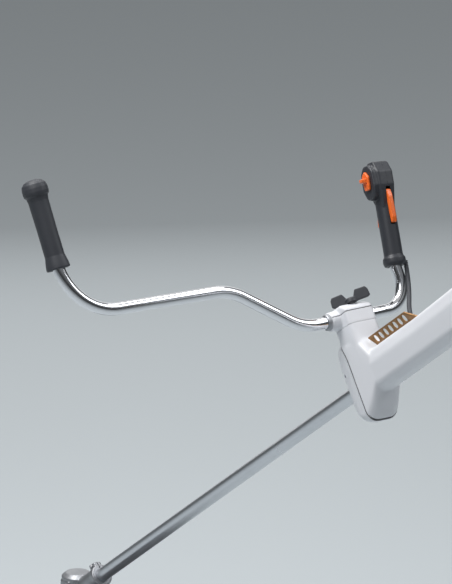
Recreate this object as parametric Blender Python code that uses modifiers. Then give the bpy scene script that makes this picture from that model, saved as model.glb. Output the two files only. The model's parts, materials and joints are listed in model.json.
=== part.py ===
# A petrol string trimmer with a bicycle-style handlebar, built piece by piece.
# Everything is laid out along the drive shaft: +X towards the cutting head, +Y to the user's left and
# +Z square to the shaft. One empty then tips the whole machine nose down, so that the head turns level.
import math

import bmesh
import bpy
from mathutils import Matrix, Vector

MM = 0.001

# driving dimensions, in millimetres
GAP = 0.3  # clearance between touching pieces
PITCH_DEG = 35.0  # nose-down angle in use
TUBE_R = 12.7  # drive tube
TUBE_WALL = 1.8
TUBE_FRONT = 1058.0
TUBE_REAR = -455.0
DRIVE_R = 4.0  # drive shaft
SEAM_X = 5.0  # joint between front cover and main housing
COVER_DEPTH = 53.0
BODY_HALF = 33.0  # half width of the front housing
BODY_TOP = 84.0
BODY_BOTTOM = -71.0
ARM_HALF = 28.0
ARM_TOP = 45.5
ARM_BOTTOM = -31.0
ARM_REAR = -440.0
WALL = 3.0
NECK_HALF = 30.0
NECK_REAR = -37.0
NECK_FRONT = 17.0
NECK_TOP = 101.0
BAR_R = 11.0
BAR_Z = 120.0  # bar centre above the shaft
CAP_TOP = BAR_Z + 20.5
SWIVEL_X = -21.0  # clamp screw axis, behind the bar
BAR_LEAN_DEG = 9.6  # the bar's plane leans back
GRIP_R = 17.8
GRIP_LENGTH = 150.0
SLEEVE_R = 4.2  # throttle cable sleeve
RAIL_FRONT = -54.0
RAIL_LENGTH = 146.0
RAIL_HEIGHT = 23.5
RAIL_THICK = 2.5
RAIL_LEAN_DEG = 26.0
RAIL_HOLES = 7
RAIL_PITCH = 16.7
HEAD_X = TUBE_FRONT + 60.0  # where the shaft and head axes meet
CRANK_BLOCK = (-616.0, -522.0)
TANK_TOP = -44.0

for old in list(bpy.data.objects):
    bpy.data.objects.remove(old, do_unlink=True)

parts = bpy.data.collections.new("string_trimmer")
cutters = bpy.data.collections.new("cutters")
bpy.context.scene.collection.children.link(parts)
bpy.context.scene.collection.children.link(cutters)


def look(name, colour, roughness, metallic=0.0):
    mat = bpy.data.materials.new(name)
    mat.use_nodes = True
    shader = mat.node_tree.nodes["Principled BSDF"]
    shader.inputs["Base Color"].default_value = (*colour, 1.0)
    shader.inputs["Roughness"].default_value = roughness
    shader.inputs["Metallic"].default_value = metallic
    mat.diffuse_color = (*colour, 1.0)
    return mat


LOOKS = {
    "casing": look("white casing", (0.76, 0.77, 0.8), 0.35),
    "grip": look("black rubber", (0.04, 0.045, 0.055), 0.6),
    "handle": look("black plastic", (0.03, 0.034, 0.042), 0.4),
    "orange": look("orange plastic", (0.85, 0.13, 0.02), 0.35),
    "chrome": look("chrome", (0.82, 0.83, 0.85), 0.08, 1.0),
    "steel": look("steel", (0.5, 0.5, 0.5), 0.3, 1.0),
    "alloy": look("satin aluminium", (0.62, 0.64, 0.67), 0.32, 1.0),
    "cast": look("cast alloy", (0.35, 0.36, 0.38), 0.45, 1.0),
    "rail": look("passivated steel", (0.45, 0.27, 0.1), 0.35, 1.0),
    "tank": look("tank plastic", (0.55, 0.55, 0.5), 0.4),
    "line": look("nylon line", (0.8, 0.25, 0.03), 0.4),
    "brass": look("sintered bronze", (0.5, 0.35, 0.15), 0.4, 1.0),
}


def frame_empty(name, at, rotation, parent):
    empty = bpy.data.objects.new(name, None)
    empty.location = Vector(at) * MM
    empty.rotation_euler = rotation
    empty.parent = parent
    empty.empty_display_size = 0.05
    parts.objects.link(empty)
    return empty


tilt = math.radians(PITCH_DEG)
lean = math.radians(BAR_LEAN_DEG)
railLean = math.radians(RAIL_LEAN_DEG)
railMidHeight = 13.5


def rail_point(along, up, out=0.0):
    # a place on the rail: along the shaft, up the leaning plate and out from its left face
    y = up * math.sin(railLean) + out * math.cos(railLean)
    z = ARM_TOP + GAP + up * math.cos(railLean) - out * math.sin(railLean)
    return Vector((along, y, z))


carry = rail_point(RAIL_FRONT - 8.6 - 3.5 * RAIL_PITCH, railMidHeight, 0.0)
root = frame_empty("machine_frame", (0, 0, 0), (0.0, tilt, 0.0), None)
root.location = -(Matrix.Rotation(tilt, 3, "Y") @ carry) * MM


def publish(name, bm, finish, parent=root, at=(0, 0, 0), rotation=(0, 0, 0), cutter=False):
    bmesh.ops.recalc_face_normals(bm, faces=bm.faces)
    mesh = bpy.data.meshes.new(name)
    bm.to_mesh(mesh)
    bm.free()
    mesh.shade_smooth()
    mesh.set_sharp_from_angle(angle=math.radians(35))
    obj = bpy.data.objects.new(name, mesh)
    obj.location = Vector(at) * MM
    obj.rotation_euler = rotation
    obj.parent = parent
    if cutter:
        cutters.objects.link(obj)
        obj.hide_render = True
        obj.display_type = "WIRE"
    else:
        parts.objects.link(obj)
        obj.data.materials.append(LOOKS[finish])
    return obj


def scaled(bm):
    bmesh.ops.scale(bm, vec=(MM, MM, MM), verts=bm.verts)
    return bm


def along(direction):
    # rotation that lays a local Z axis along a direction
    return Vector(direction).to_track_quat("Z", "Y").to_euler()


def turned(name, profile, finish, at=(0, 0, 0), direction=(0, 0, 1), closed=False, steps=18, **extra):
    """profile: (radius, height) pairs down the outer side; closed joins the last to the first."""
    mesh = bpy.data.meshes.new(name)
    points = [(r * MM, 0.0, z * MM) for r, z in profile]
    edges = [(i, i + 1) for i in range(len(points) - 1)]
    if closed:
        edges.append((len(points) - 1, 0))
    # nothing is turned along the axis itself
    edges = [(a, b) for a, b in edges if profile[a][0] or profile[b][0]]
    mesh.from_pydata(points, edges, [])
    obj = bpy.data.objects.new(name, mesh)
    obj.location = Vector(at) * MM
    obj.rotation_euler = along(direction)
    obj.parent = extra.get("parent", root)
    screw = obj.modifiers.new("turn", "SCREW")
    screw.angle = math.tau
    screw.steps = steps
    screw.render_steps = steps
    screw.use_merge_vertices = True
    screw.merge_threshold = 0.00001
    screw.use_smooth_shade = False
    if extra.get("cutter"):
        cutters.objects.link(obj)
        obj.hide_render = True
        obj.display_type = "WIRE"
    else:
        parts.objects.link(obj)
        mesh.materials.append(LOOKS[finish])
    return obj


def ring(name, inner, outer, low, high, finish, **extra):
    profile = [(outer, high), (outer, low), (inner, low), (inner, high)]
    return turned(name, profile, finish, closed=True, **extra)


def rod(name, radius, low, high, finish, chamfer=0.0, **extra):
    profile = [(0, high), (radius - chamfer, high), (radius, high - chamfer)]
    profile += [(radius, low + chamfer), (radius - chamfer, low), (0, low)]
    if chamfer == 0.0:
        profile = [(0, high), (radius, high), (radius, low), (0, low)]
    return turned(name, profile, finish, **extra)


def block(name, low, high, finish, bevel=0.0, segments=2, **extra):
    bm = bmesh.new()
    bmesh.ops.create_cube(bm, size=1.0)
    low = Vector(low)
    high = Vector(high)
    bmesh.ops.scale(bm, vec=high - low, verts=bm.verts)
    bmesh.ops.translate(bm, vec=(low + high) / 2, verts=bm.verts)
    obj = publish(name, scaled(bm), finish, **extra)
    round_edges(obj, bevel, segments)
    return obj


def round_edges(obj, width, segments=2):
    if width:
        bevel = obj.modifiers.new("round", "BEVEL")
        bevel.width = width * MM
        bevel.segments = segments
        bevel.limit_method = "ANGLE"
        bevel.angle_limit = math.radians(30)


def prism(name, outline, low, high, axis, finish, bevel=0.0, segments=2, **extra):
    """A flat outline extruded along X, Y or Z; the outline gives the other two coordinates in order."""
    bm = bmesh.new()
    index = "XYZ".index(axis)
    verts = []
    for a, b in outline:
        place = [a, b]
        place.insert(index, low)
        verts.append(bm.verts.new(place))
    face = bm.faces.new(verts)
    made = bmesh.ops.extrude_face_region(bm, geom=[face])["geom"]
    shift = Vector((0, 0, 0))
    shift[index] = high - low
    moved = [v for v in made if isinstance(v, bmesh.types.BMVert)]
    bmesh.ops.translate(bm, vec=shift, verts=moved)
    obj = publish(name, scaled(bm), finish, **extra)
    round_edges(obj, bevel, segments)
    return obj


def loft(name, outline, stations, finish, **extra):
    """A YZ outline carried along X; each station is (x, scale across, scale up, shift up)."""
    bm = bmesh.new()
    x, across, up, shift = stations[0]
    inner = False
    face = bm.faces.new([bm.verts.new((x, y * across, z * up + shift)) for y, z in outline])
    for x, nextAcross, nextUp, nextShift in stations[1:]:
        start = face
        made = bmesh.ops.extrude_face_region(bm, geom=[start])["geom"]
        face = [f for f in made if isinstance(f, bmesh.types.BMFace)][0]
        if start.is_valid and inner:
            bm.faces.remove(start)
        inner = True
        for vert in face.verts:
            y = vert.co.y / across * nextAcross
            z = (vert.co.z - shift) / up * nextUp + nextShift
            vert.co = (x, y, z)
        across, up, shift = nextAcross, nextUp, nextShift
    return publish(name, scaled(bm), finish, **extra)


def joined(target, others, operation="UNION"):
    for other in others:
        step = target.modifiers.new(other.name, "BOOLEAN")
        step.operation = operation
        step.object = other
        step.solver = "EXACT"
    return target


def cut(target, *others):
    return joined(target, others, "DIFFERENCE")


def rounded(corners, radius, steps=4):
    """Rounds the corners of a closed outline with arcs."""
    outline = []
    count = len(corners)
    for i in range(count):
        here = Vector(corners[i])
        back = (Vector(corners[i - 1]) - here).normalized()
        ahead = (Vector(corners[(i + 1) % count]) - here).normalized()
        half = back.angle(ahead) / 2
        reach = radius / math.tan(half)
        middle = here + (back + ahead).normalized() * radius / math.sin(half)
        start = here + back * reach - middle
        end = here + ahead * reach - middle
        for k in range(steps + 1):
            mix = start.lerp(end, k / steps).normalized() * radius
            outline.append(tuple(middle + mix))
    return outline


def bent_path(corners, radii, steps=5):
    """Straight runs between corners with an arc at each inner corner."""
    path = [Vector(corners[0])]
    for i in range(1, len(corners) - 1):
        here = Vector(corners[i])
        back = (Vector(corners[i - 1]) - here).normalized()
        ahead = (Vector(corners[i + 1]) - here).normalized()
        half = back.angle(ahead) / 2
        reach = radii[i - 1] / math.tan(half)
        middle = here + (back + ahead).normalized() * radii[i - 1] / math.sin(half)
        start = here + back * reach - middle
        end = here + ahead * reach - middle
        sweep = start.angle(end)
        for k in range(steps + 1):
            t = k / steps
            weight = math.sin(sweep)
            point = start * (math.sin((1 - t) * sweep) / weight) + end * (math.sin(t * sweep) / weight)
            path.append(middle + point)
    path.append(Vector(corners[-1]))
    return path


def pipe(name, path, radius, finish, resolution=4, **extra):
    curve = bpy.data.curves.new(name, "CURVE")
    curve.dimensions = "3D"
    curve.bevel_depth = radius * MM
    curve.bevel_resolution = resolution
    curve.use_fill_caps = True
    spline = curve.splines.new("POLY")
    spline.points.add(len(path) - 1)
    for point, place in zip(spline.points, path):
        point.co = (*(Vector(place) * MM), 1.0)
    obj = bpy.data.objects.new(name, curve)
    obj.parent = extra.get("parent", root)
    parts.objects.link(obj)
    curve.materials.append(LOOKS[finish])
    return obj


def meshed(obj, collection):
    """Turns a finished curve into a closed mesh, so that it can be cut."""
    bpy.context.view_layer.update()
    evaluated = obj.evaluated_get(bpy.context.evaluated_depsgraph_get())
    mesh = bpy.data.meshes.new_from_object(evaluated)
    bm = bmesh.new()
    bm.from_mesh(mesh)
    bmesh.ops.remove_doubles(bm, verts=bm.verts, dist=0.00001)
    bmesh.ops.recalc_face_normals(bm, faces=bm.faces)
    bm.to_mesh(mesh)
    bm.free()
    name = obj.name
    parent = obj.parent
    bpy.data.objects.remove(obj, do_unlink=True)
    solid = bpy.data.objects.new(name, mesh)
    solid.parent = parent
    collection.objects.link(solid)
    if collection == cutters:
        solid.hide_render = True
        solid.display_type = "WIRE"
    return solid


def bezier(pulls, t):
    """A point on the cubic curve between the first and last of four points."""
    a, b, c, d = pulls
    return a * (1 - t) ** 3 + b * 3 * t * (1 - t) ** 2 + c * 3 * t * t * (1 - t) + d * t**3


shaftAxis = (1, 0, 0)

# ---- drive tube and what turns in it ----
def drive_line():
    inner = TUBE_R - TUBE_WALL
    ring("shaft_tube", inner, TUBE_R, TUBE_REAR, TUBE_FRONT, "alloy", direction=shaftAxis)
    for name, x in (("shaft_bush_rear", -300.0), ("shaft_bush_front", 800.0)):
        ring(name, DRIVE_R + GAP, inner - GAP, x - 12, x + 12, "brass", direction=shaftAxis, steps=16)
    turn = frame_empty("drive_shaft_axis", (0, 0, 0), (0, 0, 0), root)
    rod("drive_shaft", DRIVE_R, -486, HEAD_X - 20, "steel", direction=shaftAxis, parent=turn, steps=16)
    drum = [(9, -466), (37, -468), (37, -500), (34.5, -500), (34.5, -471), (9, -472)]
    drum += [(9, -484), (DRIVE_R + GAP, -484), (DRIVE_R + GAP, -466)]
    turned("clutch_drum", drum, "cast", direction=shaftAxis, closed=True, parent=turn)
    return turn


# ---- front cover, main housing and harness rail ----
def casing():
    bodyOutline = rounded([(BODY_HALF, BODY_BOTTOM), (BODY_HALF, BODY_TOP), (-BODY_HALF, BODY_TOP),
                           (-BODY_HALF, BODY_BOTTOM)], 20, 3)
    middle = (BODY_TOP + BODY_BOTTOM) / 2
    centred = [(y, z - middle) for y, z in bodyOutline]
    rows = 4

    def dome(start, depth, wall):
        stations = [(start, 1 - wall / BODY_HALF, 1 - wall / BODY_TOP, middle)]
        for k in range(1, rows + 1):
            t = k / rows * math.radians(78)
            size = math.cos(t)
            stations.append((start + depth * math.sin(t), size - wall / BODY_HALF,
                             size - wall / BODY_TOP, middle))
        return stations

    cover = loft("front_cover", centred, dome(SEAM_X + GAP, COVER_DEPTH, 0), "casing")
    hollow = loft("cover_hollow", centred, dome(SEAM_X - 2, COVER_DEPTH, WALL), None, cutter=True)
    bore = rod("tube_bore", TUBE_R + GAP, ARM_REAR - 5, 200, None, direction=shaftAxis, cutter=True)
    cut(cover, hollow, bore)

    arm = rounded([(10, ARM_BOTTOM), (ARM_HALF - 2, -17), (ARM_HALF, 26), (15, ARM_TOP), (-15, ARM_TOP),
                   (-ARM_HALF, 26), (-ARM_HALF + 2, -17), (-10, ARM_BOTTOM)], 6, 2)
    armBody = loft("arm_body", arm, [(ARM_REAR, 1, 1, 0), (-20, 1, 1, 0)], None, cutter=True)
    side = rounded([(SEAM_X, BODY_BOTTOM), (-8, BODY_BOTTOM + 9), (-46, -21), (-52, 0), (-52, 40),
                    (NECK_REAR, 70), (NECK_REAR, NECK_TOP), (NECK_FRONT, NECK_TOP),
                    (NECK_FRONT, BODY_TOP + 2), (SEAM_X, BODY_TOP + 2)], 1.5, 1)
    housing = prism("main_housing", side, -BODY_HALF + 1, BODY_HALF - 1, "Y", "casing", bevel=7)
    pocket = [(SEAM_X + 2, BODY_BOTTOM + 5), (-6, BODY_BOTTOM + 14), (-40, -18), (-42, 50), (-30, 72),
              (SEAM_X + 2, 72)]
    hollow2 = prism("housing_pocket", pocket, -BODY_HALF + 5, BODY_HALF - 5, "Y", None, cutter=True)
    well = rod("stud_well", 6.0, 68, 110, None, at=(SWIVEL_X, 0, 0), cutter=True, steps=16)
    inside = loft("arm_hollow", [(y * 0.88, z * 0.88) for y, z in arm],
                  [(ARM_REAR + 12, 1, 1, 0), (-60, 1, 1, 0)], None, cutter=True)
    grommet = SLEEVE_R + 2.4
    cable = rod("cable_hole", grommet + GAP, 30, 60, None, at=(*cableEntry, 0), cutter=True, steps=16)
    joined(housing, [armBody])
    cut(housing, inside, hollow2, bore, well, cable)
    ring("cable_grommet", SLEEVE_R + 3 * GAP, grommet, 31, 44, "grip", at=(*cableEntry, 0), steps=16)

    head = BODY_HALF - 8  # the screw heads' height on the cover's sides
    for sign, side_name in ((1, "left"), (-1, "right")):
        hole = rod("cover_hole_" + side_name, 2.3, head - 13, 45, None, at=(34, 0, 26), direction=(0, sign, 0),
                   cutter=True, steps=12)
        cut(cover, hole)
        screw = [(0, head), (3.6, head), (3.6, head - 2.6), (1.9, head - 2.6), (1.9, head - 13), (0, head - 13)]
        seat = rod("cover_seat_" + side_name, 4.0, head - 2.9, 45, None, at=(34, 0, 26), direction=(0, sign, 0),
                   cutter=True, steps=16)
        boss = rod("cover_boss_" + side_name, 6.0, head - 11, head - 0.5, None, at=(34, 0, 26), direction=(0, sign, 0),
                   cutter=True, steps=16)
        joined(cover, [boss])
        cut(cover, seat)
        cover.modifiers.move(cover.modifiers.find("cover_boss_" + side_name),
                             cover.modifiers.find("cover_hole_" + side_name))
        turned("cover_screw_" + side_name, screw, "steel", at=(34, 0, 26), direction=(0, sign, 0), steps=16)


def harness_rail():
    outline = [(0, 0), (10, RAIL_HEIGHT), (-119, RAIL_HEIGHT), (-RAIL_LENGTH, 0)]
    turn = (-railLean, 0, 0)
    seat = rail_point(RAIL_FRONT, 0)
    rail = prism("harness_rail", outline, 0, -RAIL_THICK, "Y", "rail", at=seat, rotation=turn)
    for n in range(RAIL_HOLES):
        middle = -9.0 - n * RAIL_PITCH
        oval = []
        for k in range(12):
            angle = math.tau * k / 12
            rise = 2.0 if math.sin(angle) > 0 else -2.0
            oval.append((middle + 5.2 * math.cos(angle), railMidHeight + rise + 5.0 * math.sin(angle)))
        hole = prism(f"rail_hole_{n}", oval, 5, -RAIL_THICK - 5, "Y", None, at=seat, rotation=turn,
                     cutter=True)
        cut(rail, hole)
    y = seat[1]
    top = ARM_TOP + GAP
    foot = block("rail_foot", (RAIL_FRONT - RAIL_LENGTH + 4, y - 15, top),
                 (RAIL_FRONT - 4, y - 0.5, top + 2.2), None,
                 cutter=True)
    joined(rail, [foot])
    for name, x in (("rail_screw_front", RAIL_FRONT - 20),
                    ("rail_screw_rear", RAIL_FRONT - RAIL_LENGTH + 20)):
        place = (x, y - 9, top)
        hole = rod("hole_" + name, 2.4, -12, 10, None, at=place, cutter=True, steps=12)
        cut(rail, hole)
        cut(bpy.data.objects["main_housing"], hole)
        profile = [(0, 5.6), (3.8, 5.6), (4.2, 2.6), (2.1, 2.6), (2.1, -8), (0, -8)]
        turned(name, profile, "steel", at=place, steps=16)


# ---- handlebar, its clamp and the controls ----
def bar_point(y, w):
    return Vector((-w * math.sin(lean), y, BAR_Z + w * math.cos(lean)))


barCorners = [(-126.5, 134), (-121, 72), (-130, 0), (100, 0), (233, 91), (560, 102), (571, 330)]
barBends = [90, 45, 105, 105, 102]
cableEntry = (-143.0, -22.0)
sleevePlace = (10.0, BAR_R + 5.2)  # behind and to the right of the control handle's axis


def handlebar():
    swivel = frame_empty("handlebar_swivel", (SWIVEL_X, 0, 0), (0, 0, 0), root)
    tiltAxis = frame_empty("bar_tilt_axis", (-SWIVEL_X, 0, BAR_Z), (0, 0, 0), swivel)

    # clamp halves split at the bar's centre line
    half = GAP / 2
    barHole = rod("bar_hole", BAR_R + GAP, -60, 70, None, at=(0, 0, BAR_Z), direction=(0, 1, 0),
                  cutter=True)
    for name, low, high in (("clamp_saddle", NECK_TOP + GAP, BAR_Z - half),
                            ("clamp_cap", BAR_Z + half, CAP_TOP)):
        body = block(name, (NECK_REAR - SWIVEL_X, -NECK_HALF, low),
                     (NECK_FRONT - SWIVEL_X, NECK_HALF, high),
                     "casing", bevel=5, parent=swivel)
        sleeve = rod("boss_" + name, BAR_R + 5, 20, 46, None, at=(0, 0, BAR_Z), direction=(0, 1, 0),
                     cutter=True)
        keep = block("keep_" + name, (-60, -80, low), (80, 80, BAR_Z + 60 if name == "clamp_cap" else high),
                     None, parent=swivel, cutter=True)
        joined(sleeve, [keep], "INTERSECT")
        joined(body, [sleeve])
        screwHole = rod("stud_hole_" + name, 4.4, 60, 180, None, at=(SWIVEL_X, 0, 0), cutter=True, steps=16)
        cut(body, barHole, screwHole)
    rod("clamp_stud", 4.0, 70, CAP_TOP + 7, "steel", at=(0, 0, 0), parent=swivel, steps=16)

    # wing screw, standing at about forty degrees to the bar
    wing = frame_empty("wing_screw_axis", (0, 0, CAP_TOP + GAP), (0, 0, math.radians(-39)), swivel)
    profile = [(0, 13), (8, 13), (10, 9), (10, 0), (4.3, 0), (4.3, 10), (0, 10)]
    hub = turned("wing_screw", profile, "handle", parent=wing, steps=20)
    outline = [(6, 0.5), (26, 0.5), (35, 4), (33, 17), (24, 20), (15, 19), (9, 8), (6, 8)]
    for sign in (1, -1):
        blade = prism(f"wing_{sign}", [(sign * y, z) for y, z in outline], -3.2, 3.2, "X", None, bevel=1.2,
                      segments=1, parent=wing, cutter=True)
        joined(hub, [blade])

    # the bent tube
    path = bent_path([tuple(bar_point(y, w)) for y, w in barCorners], barBends)
    shift = Vector((0, 0, BAR_Z))
    centre = [p - shift for p in path]
    bar = meshed(pipe("handlebar", centre, BAR_R, "chrome", parent=tiltAxis), parts)
    first = centre[0] * 2 - centre[0].lerp(centre[1], 0.1)
    last = centre[-1] * 2 - centre[-1].lerp(centre[-2], 0.1)
    bore = meshed(pipe("bar_bore", [first, *centre[1:-1], last], BAR_R - 1.8, "chrome", parent=tiltAxis),
                  cutters)
    cut(bar, bore)
    left_grip(tiltAxis)
    outlet, direction = controls(tiltAxis)
    cables(outlet, direction)


def left_grip(parent):
    top = bar_point(*barCorners[6]) - Vector((0, 0, BAR_Z))
    bottom = bar_point(*barCorners[5]) - Vector((0, 0, BAR_Z))
    direction = (top - bottom).normalized()
    length = GRIP_LENGTH
    start = top - direction * (length - 6)
    profile = [(0, length + 12), (12, length + 11), (19, length + 6), (22.5, length - 2),
               (23.2, length - 9), (22.0, length - 16), (18.5, length - 19), (GRIP_R, length - 26),
               (GRIP_R, 16), (20.5, 8), (21, 1), (19, 0), (BAR_R + 2, 0), (BAR_R + GAP, 20),
               (BAR_R + GAP, length - 5), (0, length - 5)]
    turned("left_grip", profile, "grip", at=start, direction=direction, parent=parent)


def controls(parent):
    # the handle's own axes: Z up the handle, Y to the left, X forward; its foot lies on the bar
    foot = bar_point(-121.5, 78) - Vector((0, 0, BAR_Z))
    top = bar_point(-139, 248) - Vector((0, 0, BAR_Z))
    direction = (top - foot).normalized()
    side = Vector((0, 1, 0))
    side = (side - direction * side.dot(direction)).normalized()
    ahead = side.cross(direction)
    turn = Matrix((ahead, side, direction)).transposed().to_euler()
    grip = frame_empty("control_handle_frame", foot, turn, parent)
    outlet = foot + Vector((0, 0, BAR_Z)) - ahead * sleevePlace[0] - side * sleevePlace[1] + direction * 2
    for k, hand in ((1, "left"), (-1, "right")):
        profile = [(0, 170), (17.2, 170), (17.2, 12), (20.5, 8), (20.5, 0), (18, -6), (0, -6)]
        body = turned("control_handle_" + hand, profile, "handle", parent=grip)
        headOutline = rounded([(-21, 132), (-21, 172), (-8, 184), (12, 184), (25, 166), (25, 136),
                               (12, 122)], 5, 2)
        head = prism("handle_head_" + hand, headOutline, -17, 27, "Y", None, bevel=6, parent=grip,
                     cutter=True)
        joined(body, [head])
        tube = rod("handle_bore_" + hand, BAR_R + 1.4, -10, 60, None, parent=grip, cutter=True)
        room = block("handle_room_" + hand, (-12.5, -9, 58), (12.5, 9, 172), None, parent=grip, cutter=True)
        frontSlot = block("trigger_slot_" + hand, (0, -5.4, 60), (60, 5.4, 112), None, parent=grip,
                          cutter=True)
        rearSlot = block("lockout_slot_" + hand, (-60, -4.9, 68), (0, 4.9, 136), None, parent=grip,
                         cutter=True)
        slideSlot = block("slider_slot_" + hand, (-3, 6, 136), (7, 60, 166), None, parent=grip, cutter=True)
        other = block("other_half_" + hand, (-80, k * GAP / 2, -40), (80, -k * 80, 240), None, parent=grip,
                      cutter=True)
        cable = rod("sleeve_notch_" + hand, SLEEVE_R + 0.9, -20, 6, None,
                    at=(-sleevePlace[0], -sleevePlace[1], 0),
                    parent=grip, cutter=True, steps=16)
        pins = [rod(f"pin_hole_{n}_{hand}", 1.9, -14, 14, None, at=place, direction=(0, 1, 0), parent=grip,
                    cutter=True, steps=12) for n, place in enumerate(((7, 0, 104), (-9, 0, 128)))]
        screwBore = rod("screw_hole_" + hand, 2.0, -40, 14, None, at=(0, 0, 176), direction=(0, 1, 0),
                        parent=grip,
                        cutter=True, steps=12)
        cut(body, tube, room, frontSlot, rearSlot, slideSlot, other, cable, *pins, screwBore)
    turned("handle_screw", [(0, 20.8), (3.4, 20.8), (3.4, 17.4), (1.7, 17.4), (1.7, -10), (0, -10)],
           "steel",
           at=(0, 0, 176), direction=(0, -1, 0), parent=grip, steps=14)

    trigger = frame_empty("throttle_trigger_axis", (7, 0, 104), (0, 0, 0), grip)
    outline = [(-3.5, 4), (4, 4.5), (9.5, 2), (13, -8), (18, -24), (19, -33), (15, -40), (8, -41),
               (7, -30), (3, -12),
               (-3.5, -4)]
    blade = prism("throttle_trigger", outline, -5, 5, "Y", "orange", bevel=1, segments=1, parent=trigger)
    cut(blade, rod("trigger_eye", 1.9, -9, 9, None, direction=(0, 1, 0), parent=trigger, cutter=True,
                   steps=12))
    rod("trigger_pin", 1.6, -12.5, 12.5, "steel", at=(7, 0, 104), direction=(0, 1, 0), parent=grip,
        steps=12)

    lockout = frame_empty("throttle_lockout_axis", (-9, 0, 128), (0, 0, 0), grip)
    outline = [(3.5, 4), (-4, 4.5), (-10, 2), (-13.5, -10), (-15, -48), (-13, -57), (-8, -58), (-6.5, -45),
               (-3, -8), (3.5, -4)]
    lever = prism("throttle_lockout", outline, -4.5, 4.5, "Y", "orange", bevel=1, segments=1,
                  parent=lockout)
    cut(lever, rod("lockout_eye", 1.9, -9, 9, None, direction=(0, 1, 0), parent=lockout, cutter=True,
                   steps=12))
    rod("lockout_pin", 1.6, -12.5, 12.5, "steel", at=(-9, 0, 128), direction=(0, 1, 0), parent=grip,
        steps=12)

    slider = frame_empty("stop_slider_axis", (2, 0, 151), (0, 0, 0), grip)
    knob = prism("stop_slider", rounded([(-8, -15), (6, -15), (9, 8), (0, 17), (-9, 6)], 2.5, 1),
                 27 + GAP, 33, "Y",
                 "orange", bevel=1.5, segments=1, parent=slider)
    ridge = prism("slider_ridge", [(-7, -4), (7, -4), (8, 4), (-8, 4)], 31, 39, "Y", None, bevel=2,
                  segments=1,
                  parent=slider, cutter=True)
    stem = block("slider_stem", (-4, 10.5, -6), (4, 30, 6), None, parent=slider, cutter=True)
    joined(knob, [ridge, stem])
    return outlet, direction


def cables(outlet, direction):
    # the throttle cable's sleeve, in two lengths: one curve from the control handle down into the arm
    entry = Vector((*cableEntry, 38))
    pulls = [outlet, outlet - direction * 90, entry + Vector((0, 0, 62)), entry]
    steps = 24
    half = steps // 2
    route = [bezier(pulls, n / steps) for n in range(steps + 1)]
    gap = (route[half - 1] - route[half]).normalized() * GAP
    pipe("cable_sleeve_upper", [*route[:half], route[half] + gap], SLEEVE_R, "grip", resolution=2)
    pipe("cable_sleeve_lower", [route[half] - gap, *route[half + 1:]], SLEEVE_R, "grip", resolution=2)


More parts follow.
